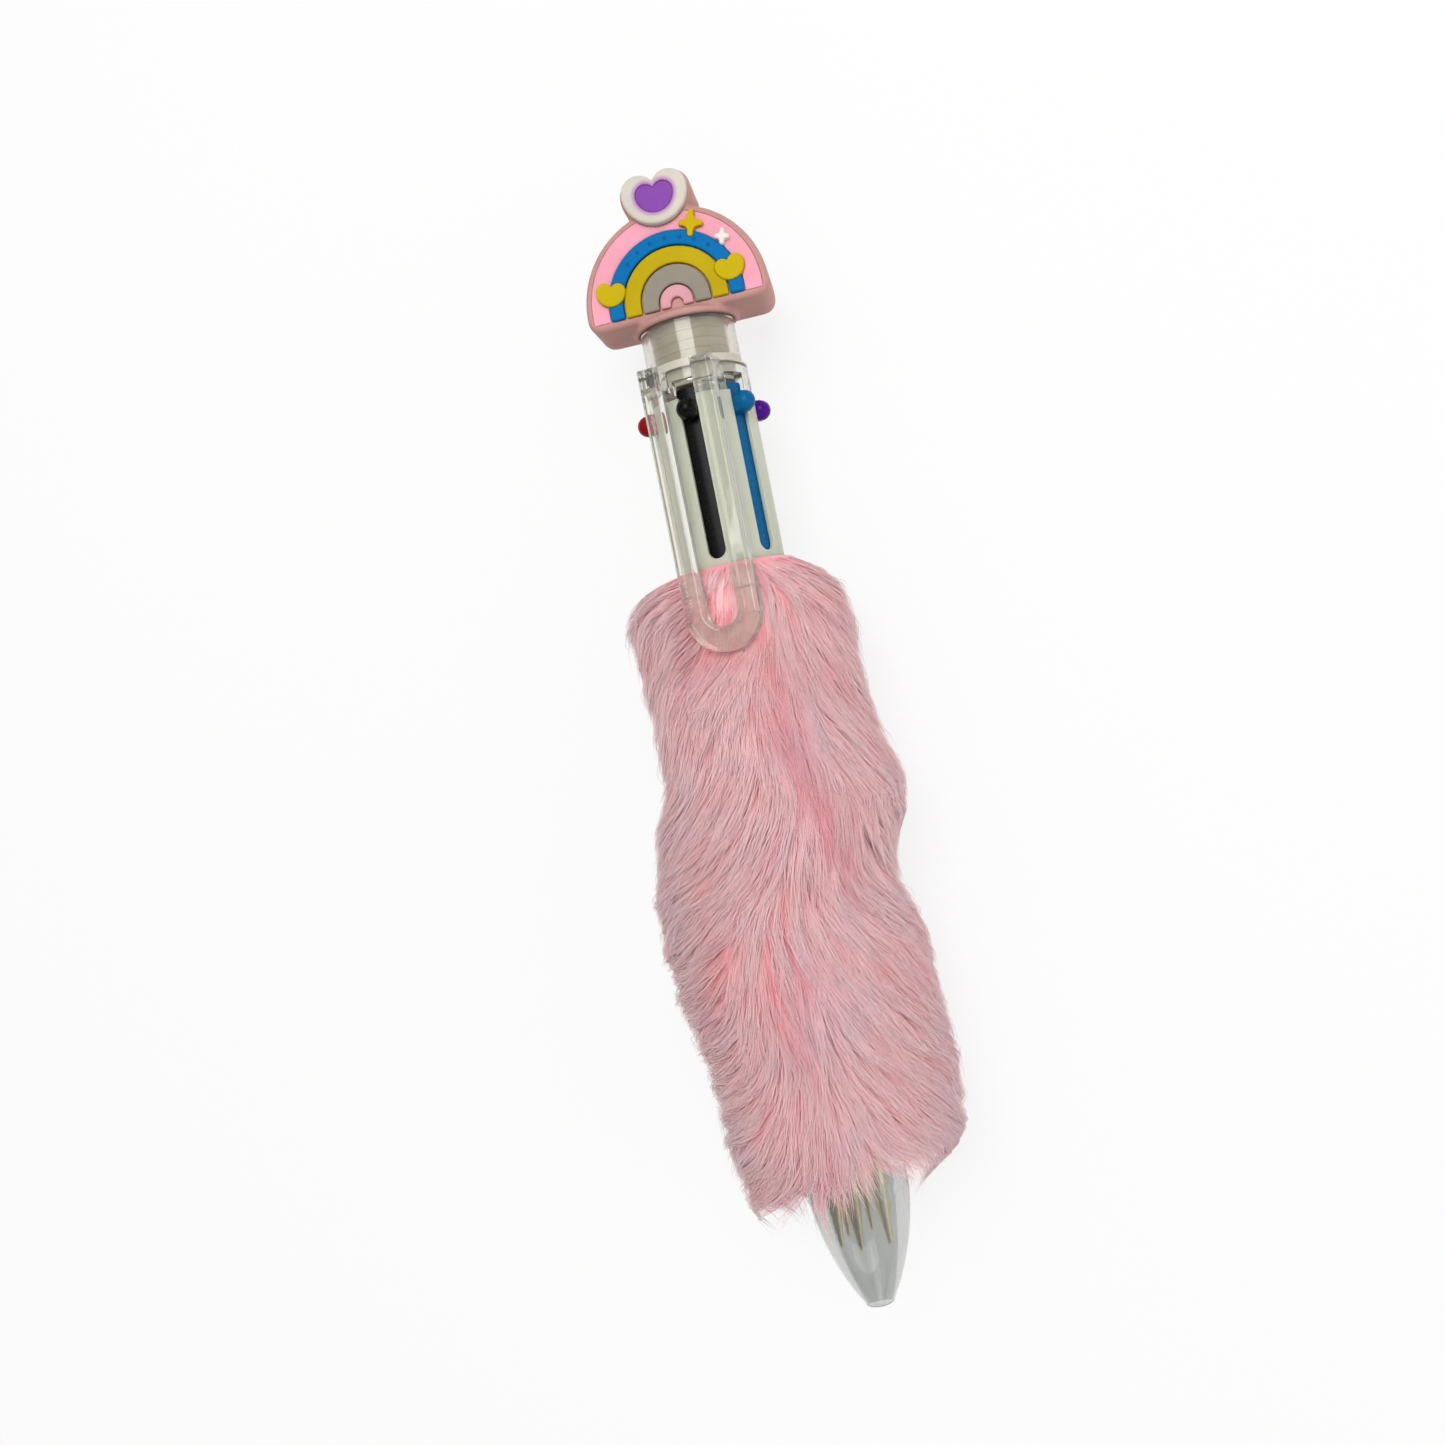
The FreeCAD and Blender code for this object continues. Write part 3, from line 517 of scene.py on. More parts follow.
DOT_COLOUR = (0.004, 0.11, 0.36)
BLUSH_COLOUR = (0.42, 0.16, 0.46)
BLUSH_WIDTH = 0.8


def wear(node, material):
    """Give a carried-over CAD node its material."""
    slots = NODES[node].data.materials
    slots.clear()
    slots.append(material)


def dress_cad():
    wear("clip_collar", clear_plastic("clear_plastic", (0.88, 0.88, 0.82), 0.9, 0.015, 0.05))
    wear("neck_cap", clear_plastic("neck_plastic", (0.83, 0.79, 0.72), 0.9, 0.02, 0.06))
    wear("tip_cone", frosted_plastic())
    wear("barrel", milky_plastic())
    white = white_plastic()
    wear("neck_plug", white)
    wear("spring_hub", white)
    wear("sleeve_backing", knitted_fabric())
    brass = turned_metal("point_metal", (1.0, 0.90, 0.62), 0.2, 0.27)
    wire = turned_metal("spring_wire", (0.62, 0.62, 0.60), 0.2, 0.35)
    tubes = {}
    for colour in COLOURS:
        wear("slider_" + colour, gloss_plastic("slider_plastic_" + colour, SLIDER_COLOURS[colour]))
        wear("refill_point_" + colour, brass)
        tubes[colour] = refill_plastic("refill_plastic_" + colour, SLIDER_COLOURS[colour])
    make_moving_refills(wire, tubes)


# ---- Soft copies of CAD pieces ----


def new_object(name, mesh):
    made = bpy.data.objects.new(name, mesh)
    bpy.context.scene.collection.objects.link(made)
    return made


def stand_for(piece, node, material):
    """Hide a CAD node and give the piece that stands for it this material."""
    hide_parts(node)
    piece.data.materials.clear()
    piece.data.materials.append(material)


def finish_modifiers(piece):
    """Put the piece's modifiers into its mesh."""
    bpy.context.view_layer.update()
    finished = piece.evaluated_get(bpy.context.evaluated_depsgraph_get())
    mesh = bpy.data.meshes.new_from_object(finished)
    piece.modifiers.clear()
    piece.data = mesh


def relax(piece, rounds):
    """Add a modifier that evens the piece's surface out, in this many rounds."""
    smoother = piece.modifiers.new("relax", "SMOOTH")
    smoother.factor = 0.5
    smoother.iterations = rounds
    return smoother


def softened(node, voxel, rounds, swell=0.0, worn=None):
    """A copy of a CAD piece with its edges worn soft, the way moulded rubber comes out.

    It may swell a little, and where worn(points) says so it is worn far rounder.
    """
    mesh = NODES[node].data.copy()
    mesh.transform(Matrix.Scale(1 / MM, 4))
    piece = new_object(node + "_soft", mesh)
    remesh = piece.modifiers.new("remesh", "REMESH")
    remesh.mode = "VOXEL"
    remesh.voxel_size = voxel
    relax(piece, rounds)
    if swell:
        plump = piece.modifiers.new("swell", "DISPLACE")
        plump.mid_level = 0.0
        plump.strength = swell
    finish_modifiers(piece)
    if worn:
        shares = worn(np.array([v.co for v in piece.data.vertices]))
        group = piece.vertex_groups.new(name="worn")
        for index in np.flatnonzero(shares > 0.01):
            group.add([int(index)], float(shares[index]), "REPLACE")
        relax(piece, WORN_ROUNDS).vertex_group = "worn"
        finish_modifiers(piece)
        piece.vertex_groups.clear()
    mesh = piece.data
    mesh.transform(Matrix.Scale(MM, 4))
    mesh.polygons.foreach_set("use_smooth", [True] * len(mesh.polygons))
    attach(piece, "root")
    return piece


def write_point_values(mesh, name, values):
    layer = mesh.attributes.new(name, "FLOAT", "POINT")
    layer.data.foreach_set("value", np.asarray(values, np.float32))


def distance_to(node, mesh):
    """How far each corner of a mesh is from a CAD piece, in millimetres."""
    other = NODES[node].data
    corners = [v.co.copy() for v in other.vertices]
    tree = BVHTree.FromPolygons(corners, [list(p.vertices) for p in other.polygons])
    return np.array([tree.find_nearest(v.co)[3] for v in mesh.vertices]) / MM


TOPPER_SLOTS = {
    "topper_body": "topper_pink", "topper_face": "topper_bright_pink", "topper_arc_blue": "topper_blue",
    "topper_arc_yellow": "topper_yellow", "topper_arc_grey": "topper_grey",
    "topper_arc_pink": "topper_bright_pink", "topper_side_hearts": "topper_yellow",
    "topper_sparkle_yellow": "topper_yellow", "topper_sparkle_white": "topper_white",
    "topper_heart": "topper_white", "topper_heart_centre": "topper_purple",
}
BODY_VOXEL = 0.16
BODY_ROUNDS = 14
ORNAMENT_VOXEL = 0.08
ORNAMENT_ROUNDS = 10
SPARKLE_SWELL = 0.12
WORN_ROUNDS = 70
# The topper's body is worn rounder behind this depth, and fades to its plain edges in front of the other
WORN_DEPTH = -1.5
PLAIN_DEPTH = 2.5
TOPPER_TURN = math.radians(9.0)


def behind_face(points):
    """How much the topper's body is worn rounder: fully at its back, not at its front."""
    height = points[:, 2] - AXIS_Z / MM
    depth = points[:, 0] * math.sin(TOPPER_TURN) + height * math.cos(TOPPER_TURN)
    return 1 - smooth_step(depth, WORN_DEPTH, PLAIN_DEPTH)


def make_topper():
    """The soft rubber topper: each CAD layer with soft edges, and printed dots along the blue arc."""
    for node, slot in TOPPER_SLOTS.items():
        if node == "topper_body":
            piece = softened(node, BODY_VOXEL, BODY_ROUNDS, worn=behind_face)
        else:
            swell = SPARKLE_SWELL if node == "topper_sparkle_white" else 0.0
            piece = softened(node, ORNAMENT_VOXEL, ORNAMENT_ROUNDS, swell)
        material = soft_rubber(node + "_rubber", TOPPER_COLOURS[node])
        if node == "topper_heart":
            gap = distance_to("topper_heart_centre", piece.data)
            write_point_values(piece.data, "blush", 1 - smooth_step(gap, 0.0, BLUSH_WIDTH))
            material = blushing_rubber("topper_heart_rubber", TOPPER_COLOURS[node], BLUSH_COLOUR)
        stand_for(piece, node, material)
    make_arc_dots()


# The blue arc's middle and outer radii, and the dots along it: degrees to each side, number, size and height
ARC_MIDDLE = 8.2
ARC_OUTER = 9.2
DOT_SPREAD = 43.0
DOT_COUNT = 7
DOT_RADIUS = 0.3
DOT_RISE = 0.1


def make_arc_dots():
    """Low round dots along the middle of the blue arc."""
    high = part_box("topper_arc_blue")[1]
    centre = (high.y - NOZZLE_Y) / MM - ARC_OUTER
    sine, cosine = math.sin(TOPPER_TURN), math.cos(TOPPER_TURN)
    front = ((high.z - AXIS_Z) / MM - ARC_OUTER * sine) / cosine
    across = Vector((cosine, 0, -sine))
    towards = Vector((sine, 0, cosine))
    axes = Matrix((across * DOT_RADIUS, Vector((0, DOT_RADIUS, 0)), towards * DOT_RISE)).transposed()
    shape = bmesh.new()
    for index in range(DOT_COUNT):
        lean = math.radians(DOT_SPREAD * (2 * index / (DOT_COUNT - 1) - 1))
        spot = across * ARC_MIDDLE * math.sin(lean) + towards * front
        spot += Vector((0, centre + ARC_MIDDLE * math.cos(lean), 0))
        seat = Matrix.Translation(spot) @ axes.to_4x4()
        bmesh.ops.create_uvsphere(shape, u_segments=20, v_segments=10, radius=1.0, matrix=seat)
    for vertex in shape.verts:
        vertex.co = place(vertex.co.x, vertex.co.y, vertex.co.z)
    bmesh.ops.recalc_face_normals(shape, faces=shape.faces)
    mesh = bpy.data.meshes.new("topper_arc_dots")
    shape.to_mesh(mesh)
    shape.free()
    mesh.polygons.foreach_set("use_smooth", [True] * len(mesh.polygons))
    mesh.materials.append(soft_rubber("dot_rubber", DOT_COLOUR))
    dots = new_object("topper_arc_dots", mesh)
    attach(dots, "root")


# ---- Springs and refill tubes, copied from their CAD pieces ----

# A tube is cut into rings over this length above its hinge; above it, too, its end is drawn in to a share of
# its radius
NECKING = 3.5
NECKED_SHARE = 0.81
TUBE_CUTS = 15
TUBE_SKIN = 0.1


def cut_across(mesh, stations):
    """Add rings of vertices across the pen at these Y places, so that a long face can bend."""
    shape = bmesh.new()
    shape.from_mesh(mesh)
    for y in stations:
        everything = shape.verts[:] + shape.edges[:] + shape.faces[:]
        bmesh.ops.bisect_plane(shape, geom=everything, plane_co=(0, y, 0), plane_no=(0, 1, 0))
    shape.to_mesh(mesh)
    shape.free()


def draw_in(tube, node, pivot):
    """Draw the tube's lower end in round its point's plug, so that it clears the cone when pushed down."""
    low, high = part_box(node)
    middle_x, middle_z = (low.x + high.x) / 2, (low.z + high.z) / 2
    outside = (high.x - low.x) / 2 - TUBE_SKIN * MM
    for vertex in tube.data.vertices:
        across_x, across_z = vertex.co.x - middle_x, vertex.co.z - middle_z
        if math.hypot(across_x, across_z) > outside:
            above = min(max((vertex.co.y - pivot) / (NECKING * MM), 0.0), 1.0)
            share = NECKED_SHARE + (1 - NECKED_SHARE) * above
            vertex.co.x = middle_x + across_x * share
            vertex.co.z = middle_z + across_z * share


def make_moving_refills(wire, tubes):
    """Copies of the springs, and of the tubes with rings cut above their hinges and their lower ends drawn
    in.
    """
    for colour in COLOURS:
        node = "spring_" + colour
        spring = new_object(node + "_coil", NODES[node].data.copy())
        stand_for(spring, node, wire)
        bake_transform(spring)
        node = "refill_tube_" + colour
        hinge = "bend_" + colour
        pivot = next(joint["pos_m"][1] for joint in frame["joints"] if joint["name"] == hinge)
        tube = new_object(node + "_bending", NODES[node].data.copy())
        cut_across(tube.data, np.linspace(pivot, pivot + NECKING * MM, TUBE_CUTS))
        draw_in(tube, node, pivot)
        stand_for(tube, node, tubes[colour])
        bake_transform(tube)


# ---- Plush sleeve ----

SLEEVE_END = 103.0
END_ROUNDING = 8.0
LIFT = 2.0
WISPS = 4600
WISP_STEPS = 14
STRANDS = 112000
STRANDS_PER_PIECE = 12000
STRAND_SEGMENTS = 3
STRAND_WIDTH = 0.055
FUR_SEED = 11
LEFT_SIDE = -73.0
# Where the sleeve's two sides swell and draw in: station along the pen, radius of the fur
LEFT_OUTLINE = [
    (12, 11.4), (16.6, 15.6), (21, 17.3), (38, 18.1), (46, 20.2), (60, 20.5),
    (69, 18.8), (74, 16.0), (90, 16.4), (98, 17.8), (102, 16.4), (105, 11.0),
]
RIGHT_OUTLINE = [
    (17, 7.0), (18.6, 8.5), (19.6, 13.2), (21.5, 15.6), (25, 17.6), (28, 18.9), (36, 17.2),
    (50, 17.2), (60, 13.2), (70, 18.9), (81, 15.1), (95, 15.9), (101, 13.4), (104, 9.0),
]
# Hairs that stand past the outline are drawn back to it: how softly, and how far past it they may end
TRIM_SLACK = 0.4
TRIM_SPREAD = 1.4
# Where the fur parts on the clip's side: station, angle
PARTING_LINE = [
    (20, 20), (35, 8), (45, 0), (55, 1), (60, 30), (67, 42), (74, 31), (84, 23), (94, 28), (104, 24),
]
PARTING_WIDTH = 7.0
# How far the fur is combed out from the parting, to each side: station, turn in degrees
LEFT_COMB = [(15, 44), (24, 58), (34, 78), (52, 82), (62, 72), (70, 62), (78, 38), (92, 36), (103, 60)]
RIGHT_COMB = [(15, 46), (30, 44), (60, 48), (80, 42), (95, 48), (103, 66)]
COMB_REACH = 34.0
# The lower edge: its mean station, how much higher it is on the right, and two places where it is drawn up
EDGE_STATION = 21.8
EDGE_SLOPE = 2.6
RIGHT_SIDE = 75.0
LOBE_ANGLE = 118.0
LOBE_WIDTH = 34.0
LOBE_RISE = 2.6
FRONT_ANGLE = 20.0
FRONT_WIDTH = 30.0
FRONT_RISE = 2.2
FRONT_SHORTER = 0.22
# The fur lies flatter under the clip, over this much of the round and by this depth
CLIP_DIP = 2.6
CLIP_DIP_WIDTH = 38.0
# The clip's half width, the length of fur in front of its end, and where the opening between its legs starts
CLIP_HALF = 5.1
CLIP_RAMP = 5.0
CLIP_OPENING = 3.4
# How high above the axis the fur may stand under the clip, and how much higher in its opening
COAT_CAP = 8.1
HAIR_CAP = 8.33
OPENING_CAP = 1.3
CAP_SOFTNESS = 1.2
FLOOR_CLEARANCE = 0.15
COAT_COLUMNS = 180
COAT_ROWS = 120
# Strands look for their wisp round a cylinder of this radius, and along it at this share of the distance
WISP_ALONG = 0.6
WISP_ROUND = 14.0


def smooth_profile(points):
    """A smooth curve near a few (station, value) points, as a function of the station."""
    grid = np.linspace(-10, 130, 561)
    values = np.interp(grid, *zip(*points))
    width = 8
    reach = np.arange(-3 * width, 3 * width + 1)
    weights = np.exp(-(reach / width) ** 2)
    padded = np.pad(values, 3 * width, mode="edge")
    smooth = np.convolve(padded, weights / weights.sum(), mode="valid")
    return lambda station: np.interp(station, grid, smooth)


left_outline = smooth_profile(LEFT_OUTLINE)
right_outline = smooth_profile(RIGHT_OUTLINE)
parting_line = smooth_profile(PARTING_LINE)
left_comb = smooth_profile(LEFT_COMB)
right_comb = smooth_profile(RIGHT_COMB)


def value_noise(angle, station, cells, cell_length, seed):
    """Smooth noise from -1 to 1 over the sleeve, in whole cells round it and cells of a length along it."""
    random = np.random.default_rng(seed)
    rows = 64
    grid = random.uniform(-1, 1, (rows, cells))
    u = (angle / 360.0 % 1.0) * cells
    v = np.clip(station / cell_length + 2, 0, rows - 2)
    column, row = np.floor(u).astype(int), np.floor(v).astype(int)
    fu, fv = u - column, v - row
    fu, fv = fu * fu * (3 - 2 * fu), fv * fv * (3 - 2 * fv)
    left, right = column % cells, (column + 1) % cells
    low = grid[row, left] * (1 - fu) + grid[row, right] * fu
    high = grid[row + 1, left] * (1 - fu) + grid[row + 1, right] * fu
    return low * (1 - fv) + high * fv


def turn_between(angle, centre):
    """The signed turn from centre to angle, from -180 to 180 degrees."""
    return (angle - centre + 180.0) % 360.0 - 180.0


def in_front(angle):
    """1 on the clip's side, over the cone, fading to 0 round the sleeve."""
    return np.exp(-(turn_between(angle, FRONT_ANGLE) / FRONT_WIDTH) ** 2)


def sleeve_start(angle):
    """The sleeve's lower edge: lowest at the left, higher at the right, drawn up in front of the cone."""
    right = np.cos(np.radians(turn_between(angle, RIGHT_SIDE)))
    lobe = turn_between(angle, LOBE_ANGLE) / LOBE_WIDTH
    drawn_up = LOBE_RISE * np.exp(-lobe * lobe) + FRONT_RISE * in_front(angle)
    ragged = 0.5 * value_noise(angle, np.zeros_like(angle), 9, 10.0, 8)
    return EDGE_STATION + EDGE_SLOPE * right + drawn_up + ragged


def outline_radius(angle, station):
    """The fur's outer radius all round, between its left and right outlines."""
    share = 0.5 - 0.5 * np.cos(np.radians(turn_between(angle, LEFT_SIDE)))
    return left_outline(station) * (1 - share) + right_outline(station) * share


def parting_depth(angle, station):
    """1 in the groove where the fur parts, fading to 0 beside it and along it where the fur closes."""
    off = turn_between(angle, parting_line(station)) / PARTING_WIDTH
    open_upper = smooth_step(station, 63, 68) * (1 - smooth_step(station, 90, 97))
    open_lower = smooth_step(station, 38, 48) * (1 - smooth_step(station, 56, 60))
    return np.exp(-off * off) * (open_upper + 0.8 * open_lower)


def coat_radius(angle, station):
    """The radius of the undercoat's lumpy surface."""
    radius = outline_radius(angle, station) - LIFT - 0.4
    radius = radius + 0.45 * value_noise(angle, station, 9, 9.0, 1)
    radius = radius + 0.3 * value_noise(angle, station, 24, 3.5, 2)
    radius = radius - 0.7 * parting_depth(angle, station)
    by_clip = turn_between(angle, 0.0) / CLIP_DIP_WIDTH
    under_clip = smooth_step(station, CLIP_END - 8, CLIP_END + 1)
    radius = radius - CLIP_DIP * np.exp(-by_clip * by_clip) * under_clip
    start = sleeve_start(angle)
    near_start = np.clip((start + END_ROUNDING - station) / END_ROUNDING, 0, 1)
    near_end = np.clip((station - SLEEVE_END + END_ROUNDING) / END_ROUNDING, 0, 1)
    shape = np.sqrt(np.clip(1 - np.maximum(near_start, near_end) ** 2.4, 0, 1))
    core = BACKING_RADIUS + 0.3
    return core + (radius - core) * shape


def settle(points, cap):
    """Press points down softly under the clip's end, less within its opening, and up off the floor."""
    x, station, z = points[..., 0], points[..., 1], points[..., 2]
    beside = 1 - smooth_step(np.abs(x), CLIP_HALF + 0.4, CLIP_HALF + 2.4)
    behind = smooth_step(station, CLIP_END - CLIP_RAMP, CLIP_END - 0.3)
    between_legs = 1 - smooth_step(np.abs(x), 1.0, 2.1)
    past_end = smooth_step(station - CLIP_END, CLIP_OPENING, CLIP_OPENING + 2)
    cap = cap + OPENING_CAP * between_legs * past_end
    above = z - (cap - CAP_SOFTNESS)
    pressed = cap - CAP_SOFTNESS * np.exp(-np.maximum(above, 0) / CAP_SOFTNESS)
    z = np.where(above > 0, z + (pressed - z) * beside * behind, z)
    lowest = -FLOOR_DEPTH + FLOOR_CLEARANCE
    below = lowest + CAP_SOFTNESS - z
    z = np.where(below > 0, lowest + CAP_SOFTNESS * np.exp(-below / CAP_SOFTNESS), z)
    return np.stack([x, station, z], axis=-1)


def cylinder_points(angle, station, radius):
    """Points at these angles round the axis, as (x, station, z)."""
    turn = np.radians(angle)
    return np.stack([radius * np.sin(turn), station, radius * np.cos(turn)], axis=-1)


def make_undercoat(material):
    """The closed, lumpy body of the fur that the strands grow from."""
    columns = COAT_COLUMNS
    angles = np.tile(np.arange(columns) * 360.0 / columns, (COAT_ROWS, 1))
    share = np.linspace(0, 1, COAT_ROWS)[:, None]
    start = sleeve_start(angles)
    stations = start + (SLEEVE_END - start) * share
    outer = cylinder_points(angles, stations, coat_radius(angles, stations))
    outer = settle(outer, COAT_CAP)
    inner = cylinder_points(angles, stations, np.full_like(angles, BACKING_RADIUS + 0.02))
    loops = np.concatenate([outer, inner[::-1]])
    count = len(loops)
    faces = []
    for row in range(count):
        after = (row + 1) % count
        for column in range(columns):
            beside = (column + 1) % columns
            faces.append((row * columns + column, row * columns + beside,
                          after * columns + beside, after * columns + column))
    mesh = bpy.data.meshes.new("fur_undercoat")
    mesh.from_pydata(to_world(loops.reshape(-1, 3)).tolist(), [], faces)
    mesh.polygons.foreach_set("use_smooth", [True] * len(mesh.polygons))
    # Painted shade: the undercoat is coloured darker and rosier in the parting groove
    parting_shade_and_flecks = np.concatenate([parting_depth(angles, stations), np.zeros_like(angles)])
    write_point_values(mesh, "along", np.full(parting_shade_and_flecks.size, 0.3))
    write_point_values(mesh, "tint", np.full(parting_shade_and_flecks.size, 0.4))
    write_point_values(mesh, "parting_shade_and_flecks", parting_shade_and_flecks.ravel())
    mesh.materials.append(material)
    return new_object("fur_undercoat", mesh)


def comb_angle(angle, station):
    """How far a hair turns from straight down the pen, in degrees, combed away from the parting."""
    off = turn_between(angle, parting_line(station))
    reach = np.abs(off)
    share = (1 - np.exp(-(reach / COMB_REACH) ** 1.3)) * smooth_step(180 - reach, 0, 50)
    lean = np.where(off < 0, -left_comb(station), right_comb(station)) * share
    swirl = 13 * value_noise(angle, station, 8, 11.0, 3)
    return lean + swirl + 8 * value_noise(angle, station, 22, 5.0, 4)


def wisp_guides(random):
    """The combed guide lines of the wisps that the strands gather into, from the root in steps of 1 mm."""
    angle = random.uniform(0, 360, WISPS)
    start = sleeve_start(angle)
    station = start + (SLEEVE_END - start) * random.uniform(0, 1, WISPS)
    own_turn = random.normal(0, 6, WISPS)
    curl = random.normal(0, 9, WISPS)
    angles, stations = [angle], [station]
    for step in range(WISP_STEPS):
        turn = np.radians(comb_angle(angle, station) + own_turn + curl * step / WISP_STEPS)
        angle = angle + np.degrees(np.sin(turn) / (coat_radius(angle, station) + LIFT))
        shorter = 1 - 0.45 * smooth_step(station, SLEEVE_END - 7, SLEEVE_END)
        station = station - np.cos(turn) * shorter
        angles.append(angle)
        stations.append(station)
    return np.stack(angles, axis=1), np.stack(stations, axis=1)


def wisp_of_each(angle, station, guide_angles, guide_stations):
    """The nearest wisp to each root; wisps gather from further along the pen than across it."""
    def flat(a, s):
        points = cylinder_points(a, s * WISP_ALONG, np.full_like(a, WISP_ROUND))
        return points.tolist()

    tree = KDTree(WISPS)
    for index, spot in enumerate(flat(guide_angles[:, 0], guide_stations[:, 0])):
        tree.insert(spot, index)
    tree.balance()
    return np.array([tree.find(spot)[1] for spot in flat(angle, station)])


def strand_lines(random):
    """The centre lines of all strands, as (strand, step, 3), with their tint and their painted parting shade
    mixed with rosy flecks.
    """
    guide_angles, guide_stations = wisp_guides(random)
    wisp_tint = random.normal(0, 0.22, WISPS)
    wisp_lift = random.uniform(0.65, 1.15, WISPS)
    wisp_pull = random.uniform(0.45, 0.95, WISPS)
    wisp_length = random.uniform(0.85, 1.15, WISPS)

    angle = random.uniform(0, 360, STRANDS)
    start = sleeve_start(angle)
    station = start + (SLEEVE_END - start) * random.uniform(0, 1, STRANDS)
    wisp = wisp_of_each(angle, station, guide_angles, guide_stations)
    guard = random.uniform(0, 1, STRANDS) < 0.45
    stray = random.uniform(0, 1, STRANDS) < 0.015
    guard_length = random.uniform(8.5, 12.0, STRANDS)
    under_length = random.uniform(4.5, 8.5, STRANDS)
    length = np.where(guard, guard_length, under_length)
    upper = smooth_step(station, SLEEVE_END - 7, SLEEVE_END)
    length = length * wisp_length[wisp] * (1 - 0.4 * upper)
    guard_lift = random.uniform(0.75, 1.1, STRANDS)
    under_lift = random.uniform(0.3, 0.85, STRANDS)
    lift = LIFT * np.where(guard, guard_lift, under_lift)
    lift = lift * wisp_lift[wisp] * np.where(stray, 1.4, 1.0)
    lift = lift * (1 - 0.5 * parting_depth(angle, station))
    own_lean = random.normal(0, 2.5, STRANDS)
    stray_lean = random.normal(0, 16, STRANDS)
    sideways = np.radians(own_lean + np.where(stray, stray_lean, 0))
    at_start = 1 - smooth_step(station - start, 2, 9)
    pull = wisp_pull[wisp] * np.where(stray, 0.2, 1.0) * (1 - 0.6 * at_start)
    length = length * (1 + at_start * random.uniform(-0.35, 0.25, STRANDS))
    length = length * (1 - FRONT_SHORTER * at_start * in_front(angle))
    off_angle = turn_between(angle, guide_angles[wisp, 0])
    off_station = station - guide_stations[wisp, 0]

    root_radius = coat_radius(angle, station)
    lines = []
    for index in range(STRAND_SEGMENTS + 1):
        t = index / STRAND_SEGMENTS
        reach = length * t
        low = np.minimum(reach.astype(int), WISP_STEPS - 1)
        part = reach - low
        drawn_a = guide_angles[wisp, low] * (1 - part) + guide_angles[wisp, low + 1] * part
        drawn_s = guide_stations[wisp, low] * (1 - part) + guide_stations[wisp, low + 1] * part
        apart = 1 - pull * t ** 1.5
        drawn_a = drawn_a + off_angle * apart + np.degrees(sideways * reach / root_radius)
        drawn_s = drawn_s + off_station * apart
        under = coat_radius(drawn_a, np.maximum(drawn_s, sleeve_start(drawn_a) + 3.0))
        radius = np.maximum(0.5 * root_radius + 0.5 * under, under)
        radius = radius - 0.3 + lift * (1 - (1 - t) ** 2)
        radius = radius + (0.25 * t * t) * random.normal(0, 1, STRANDS)
        limit = outline_radius(drawn_a, drawn_s)
        past = np.maximum(radius - limit, 0)
        spread = TRIM_SPREAD * (1 - np.exp(-past * TRIM_SLACK / TRIM_SPREAD))
        radius = np.minimum(radius, limit) + spread
        lines.append(cylinder_points(drawn_a, drawn_s, radius))
    lines = settle(np.stack(lines, axis=1), HAIR_CAP)
    tint = np.clip(0.55 + wisp_tint[wisp] + random.normal(0, 0.2, STRANDS), 0, 1)
    # Painted shade: hairs in the parting groove are coloured darker and rosier; random rosy flecks are added
    # to the same value
    flecks = smooth_step(value_noise(angle, station, 26, 4.5, 9), 0.3, 0.9)
    parting_shade_and_flecks = parting_depth(angle, station) + 0.5 * flecks
    return lines, tint, np.clip(parting_shade_and_flecks, 0, 1)


def unit(vectors):
    """These vectors at a length of one."""
    return vectors / np.maximum(np.linalg.norm(vectors, axis=-1, keepdims=True), 1e-9)


def strand_pattern(rings):
    """The triangles of one closed three-sided hair: its sides, its pointed tip and its root."""
    pattern = []
    for ring in range(rings - 1):
        for corner in range(3):
            beside = (corner + 1) % 3
            low, high = ring * 3, ring * 3 + 3
            pattern.append((low + corner, high + beside, low + beside))
            pattern.append((low + corner, high + corner, high + beside))
    last = (rings - 1) * 3
    for corner in range(3):
        pattern.append((last + (corner + 1) % 3, last + corner, rings * 3))
    pattern.append((0, 1, 2))
    return np.array(pattern)


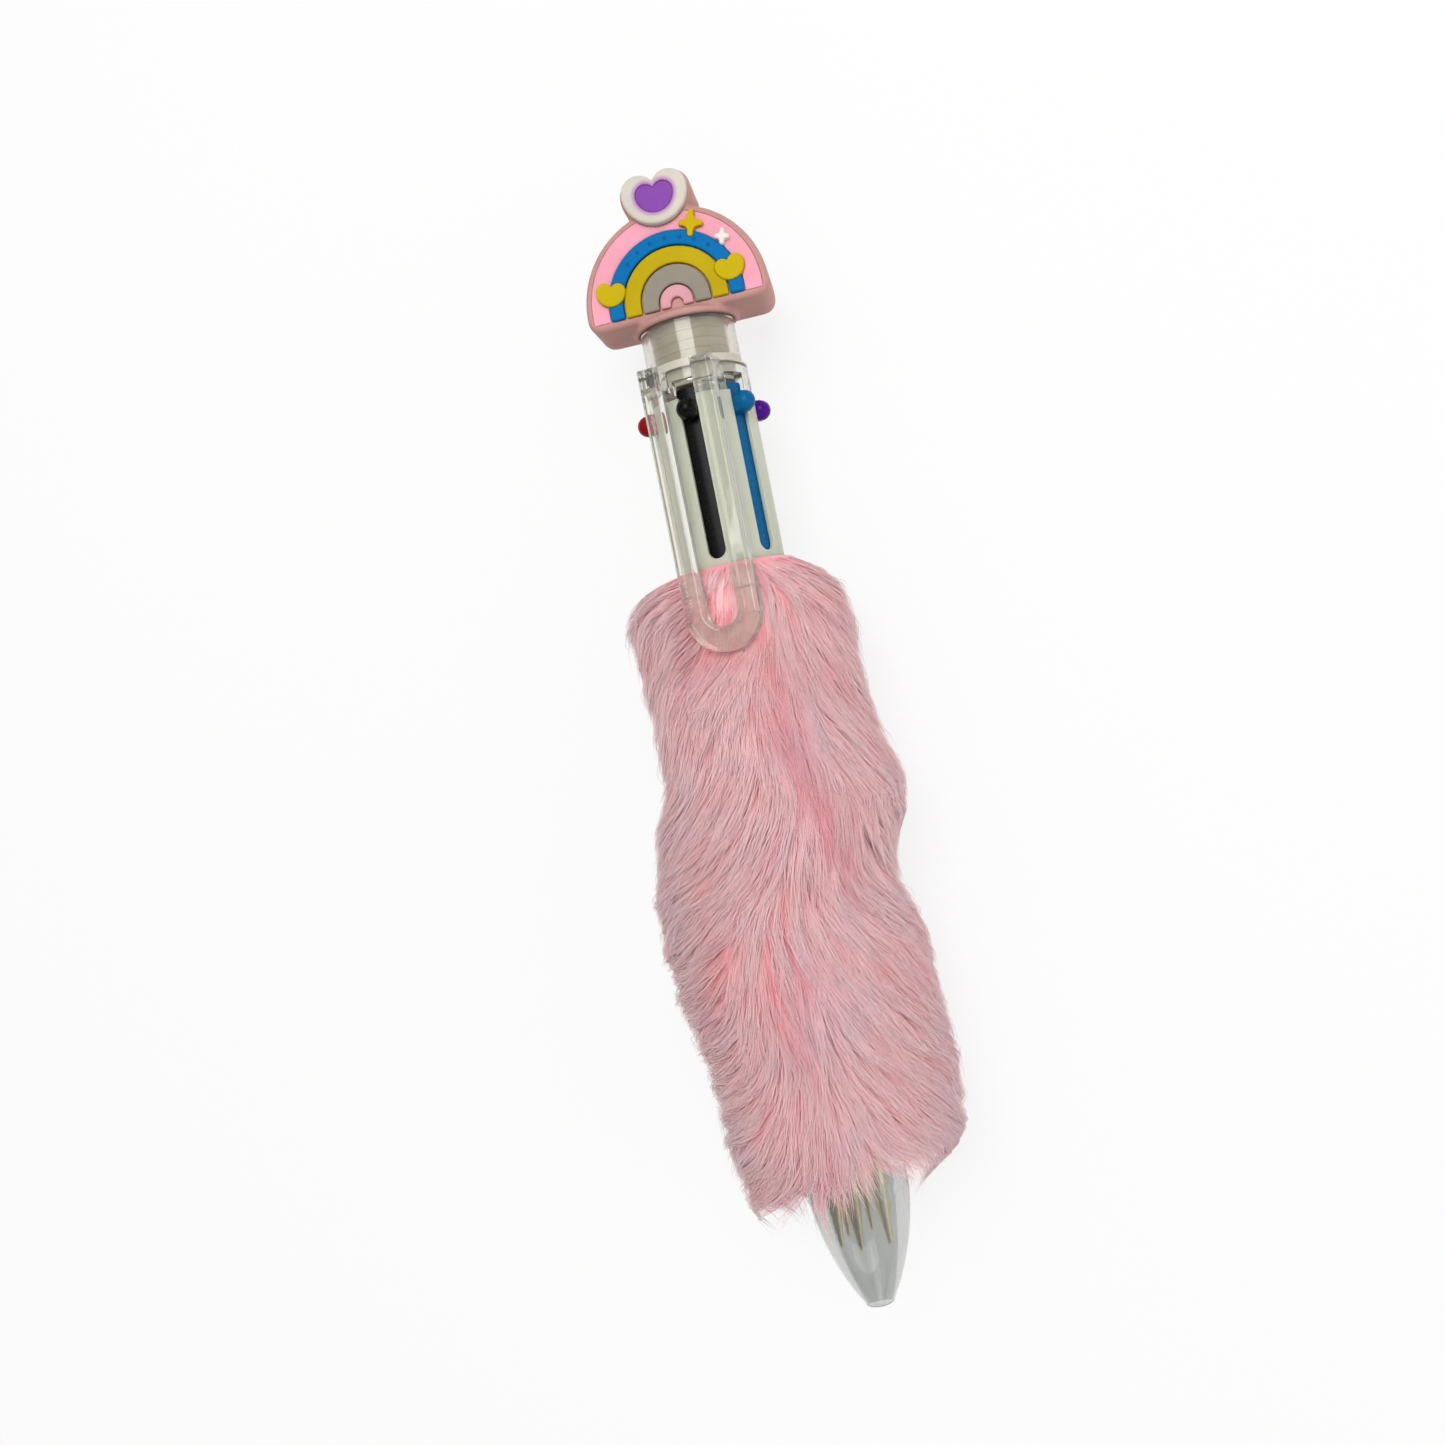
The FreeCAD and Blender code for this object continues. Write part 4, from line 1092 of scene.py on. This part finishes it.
def strand_mesh(name, lines, tints, parting_shades_and_flecks, material):
    """Tapering hairs on these centre lines, with their colour attributes and a map cell for each."""
    count, steps, _ = lines.shape
    rings = steps - 1
    flat_out = np.array([1.0, 0.0, 1.0])
    tangent = unit(np.gradient(lines, axis=1))
    side = unit(np.cross(tangent, unit(lines * flat_out)))
    lifted = np.cross(side, tangent)
    share = np.linspace(0, 1, steps)
    taper = STRAND_WIDTH * (1 - 0.75 * share[:rings] ** 1.5)
    corners = []
    normals = []
    for turn in (90.0, 210.0, 330.0):
        offset = side * math.cos(math.radians(turn)) + lifted * math.sin(math.radians(turn))
        corners.append(lines[:, :rings] + offset[:, :rings] * taper[None, :, None])
        normals.append(offset[:, :rings])
    ring_points = np.stack(corners, axis=2).reshape(count, rings * 3, 3)
    ring_normals = np.stack(normals, axis=2).reshape(count, rings * 3, 3)
    vertices = np.concatenate([ring_points, lines[:, -1:, :]], axis=1)
    own = np.concatenate([ring_normals, lifted[:, -1:, :]], axis=1)
    blended = unit(0.35 * own + 0.65 * unit(vertices * flat_out))
    per = rings * 3 + 1
    faces = (np.arange(count)[:, None, None] * per + strand_pattern(rings)[None]).reshape(-1, 3)
    flat = to_world(vertices.reshape(-1, 3))
    mesh = bpy.data.meshes.new(name)
    mesh.vertices.add(len(flat))
    mesh.vertices.foreach_set("co", flat.astype(np.float32).ravel())
    mesh.loops.add(faces.size)
    mesh.loops.foreach_set("vertex_index", faces.astype(np.int32).ravel())
    mesh.polygons.add(len(faces))
    mesh.polygons.foreach_set("loop_start", (np.arange(len(faces)) * 3).astype(np.int32))
    mesh.polygons.foreach_set("use_smooth", np.ones(len(faces), bool))
    along = np.concatenate([np.repeat(share[:rings], 3), [1.0]])
    write_point_values(mesh, "along", np.tile(along, count))
    write_point_values(mesh, "tint", np.repeat(tints, per))
    write_point_values(mesh, "parting_shade_and_flecks", np.repeat(parting_shades_and_flecks, per))
    columns = math.ceil(math.sqrt(count))
    corner_u = np.concatenate([np.tile([0.15, 0.5, 0.85], rings), [0.5]])
    index = np.arange(count)
    u = ((index % columns)[:, None] + corner_u[None]) / columns
    v = ((index // columns)[:, None] + 0.1 + 0.8 * along[None]) / columns
    places = np.stack([u, v], axis=2).reshape(-1, 2)[faces.ravel()]
    layer = mesh.uv_layers.new(name="OFBake")
    layer.data.foreach_set("uv", places.astype(np.float32).ravel())
    mesh.materials.append(material)
    mesh.update()
    mesh.normals_split_custom_set_from_vertices(blended.reshape(-1, 3).tolist())
    return new_object(name, mesh)


def make_fur():
    """The undercoat and the strands, in pieces that each hold a run of strands along the sleeve."""
    undercoat = make_undercoat(fur_material("fur_coat", COAT_LENGTHWISE))
    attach(undercoat, "root")
    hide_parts("fur_pile")
    hair = fur_material("fur_hair", HAIR_LENGTHWISE)
    lines, tints, parting_shades_and_flecks = strand_lines(np.random.default_rng(FUR_SEED))
    order = np.argsort(lines[:, 0, 1], kind="stable")
    pieces = math.ceil(STRANDS / STRANDS_PER_PIECE)
    for number, chosen in enumerate(np.array_split(order, pieces), start=1):
        tuft = strand_mesh("fur_strands_%d" % number, lines[chosen], tints[chosen], parting_shades_and_flecks[chosen], hair)
        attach(tuft, "root")


make_camera()
make_floor()
make_lights()
make_world()
dress_cad()
make_topper()
make_fur()

bpy.context.scene.view_settings.view_transform = "Standard"
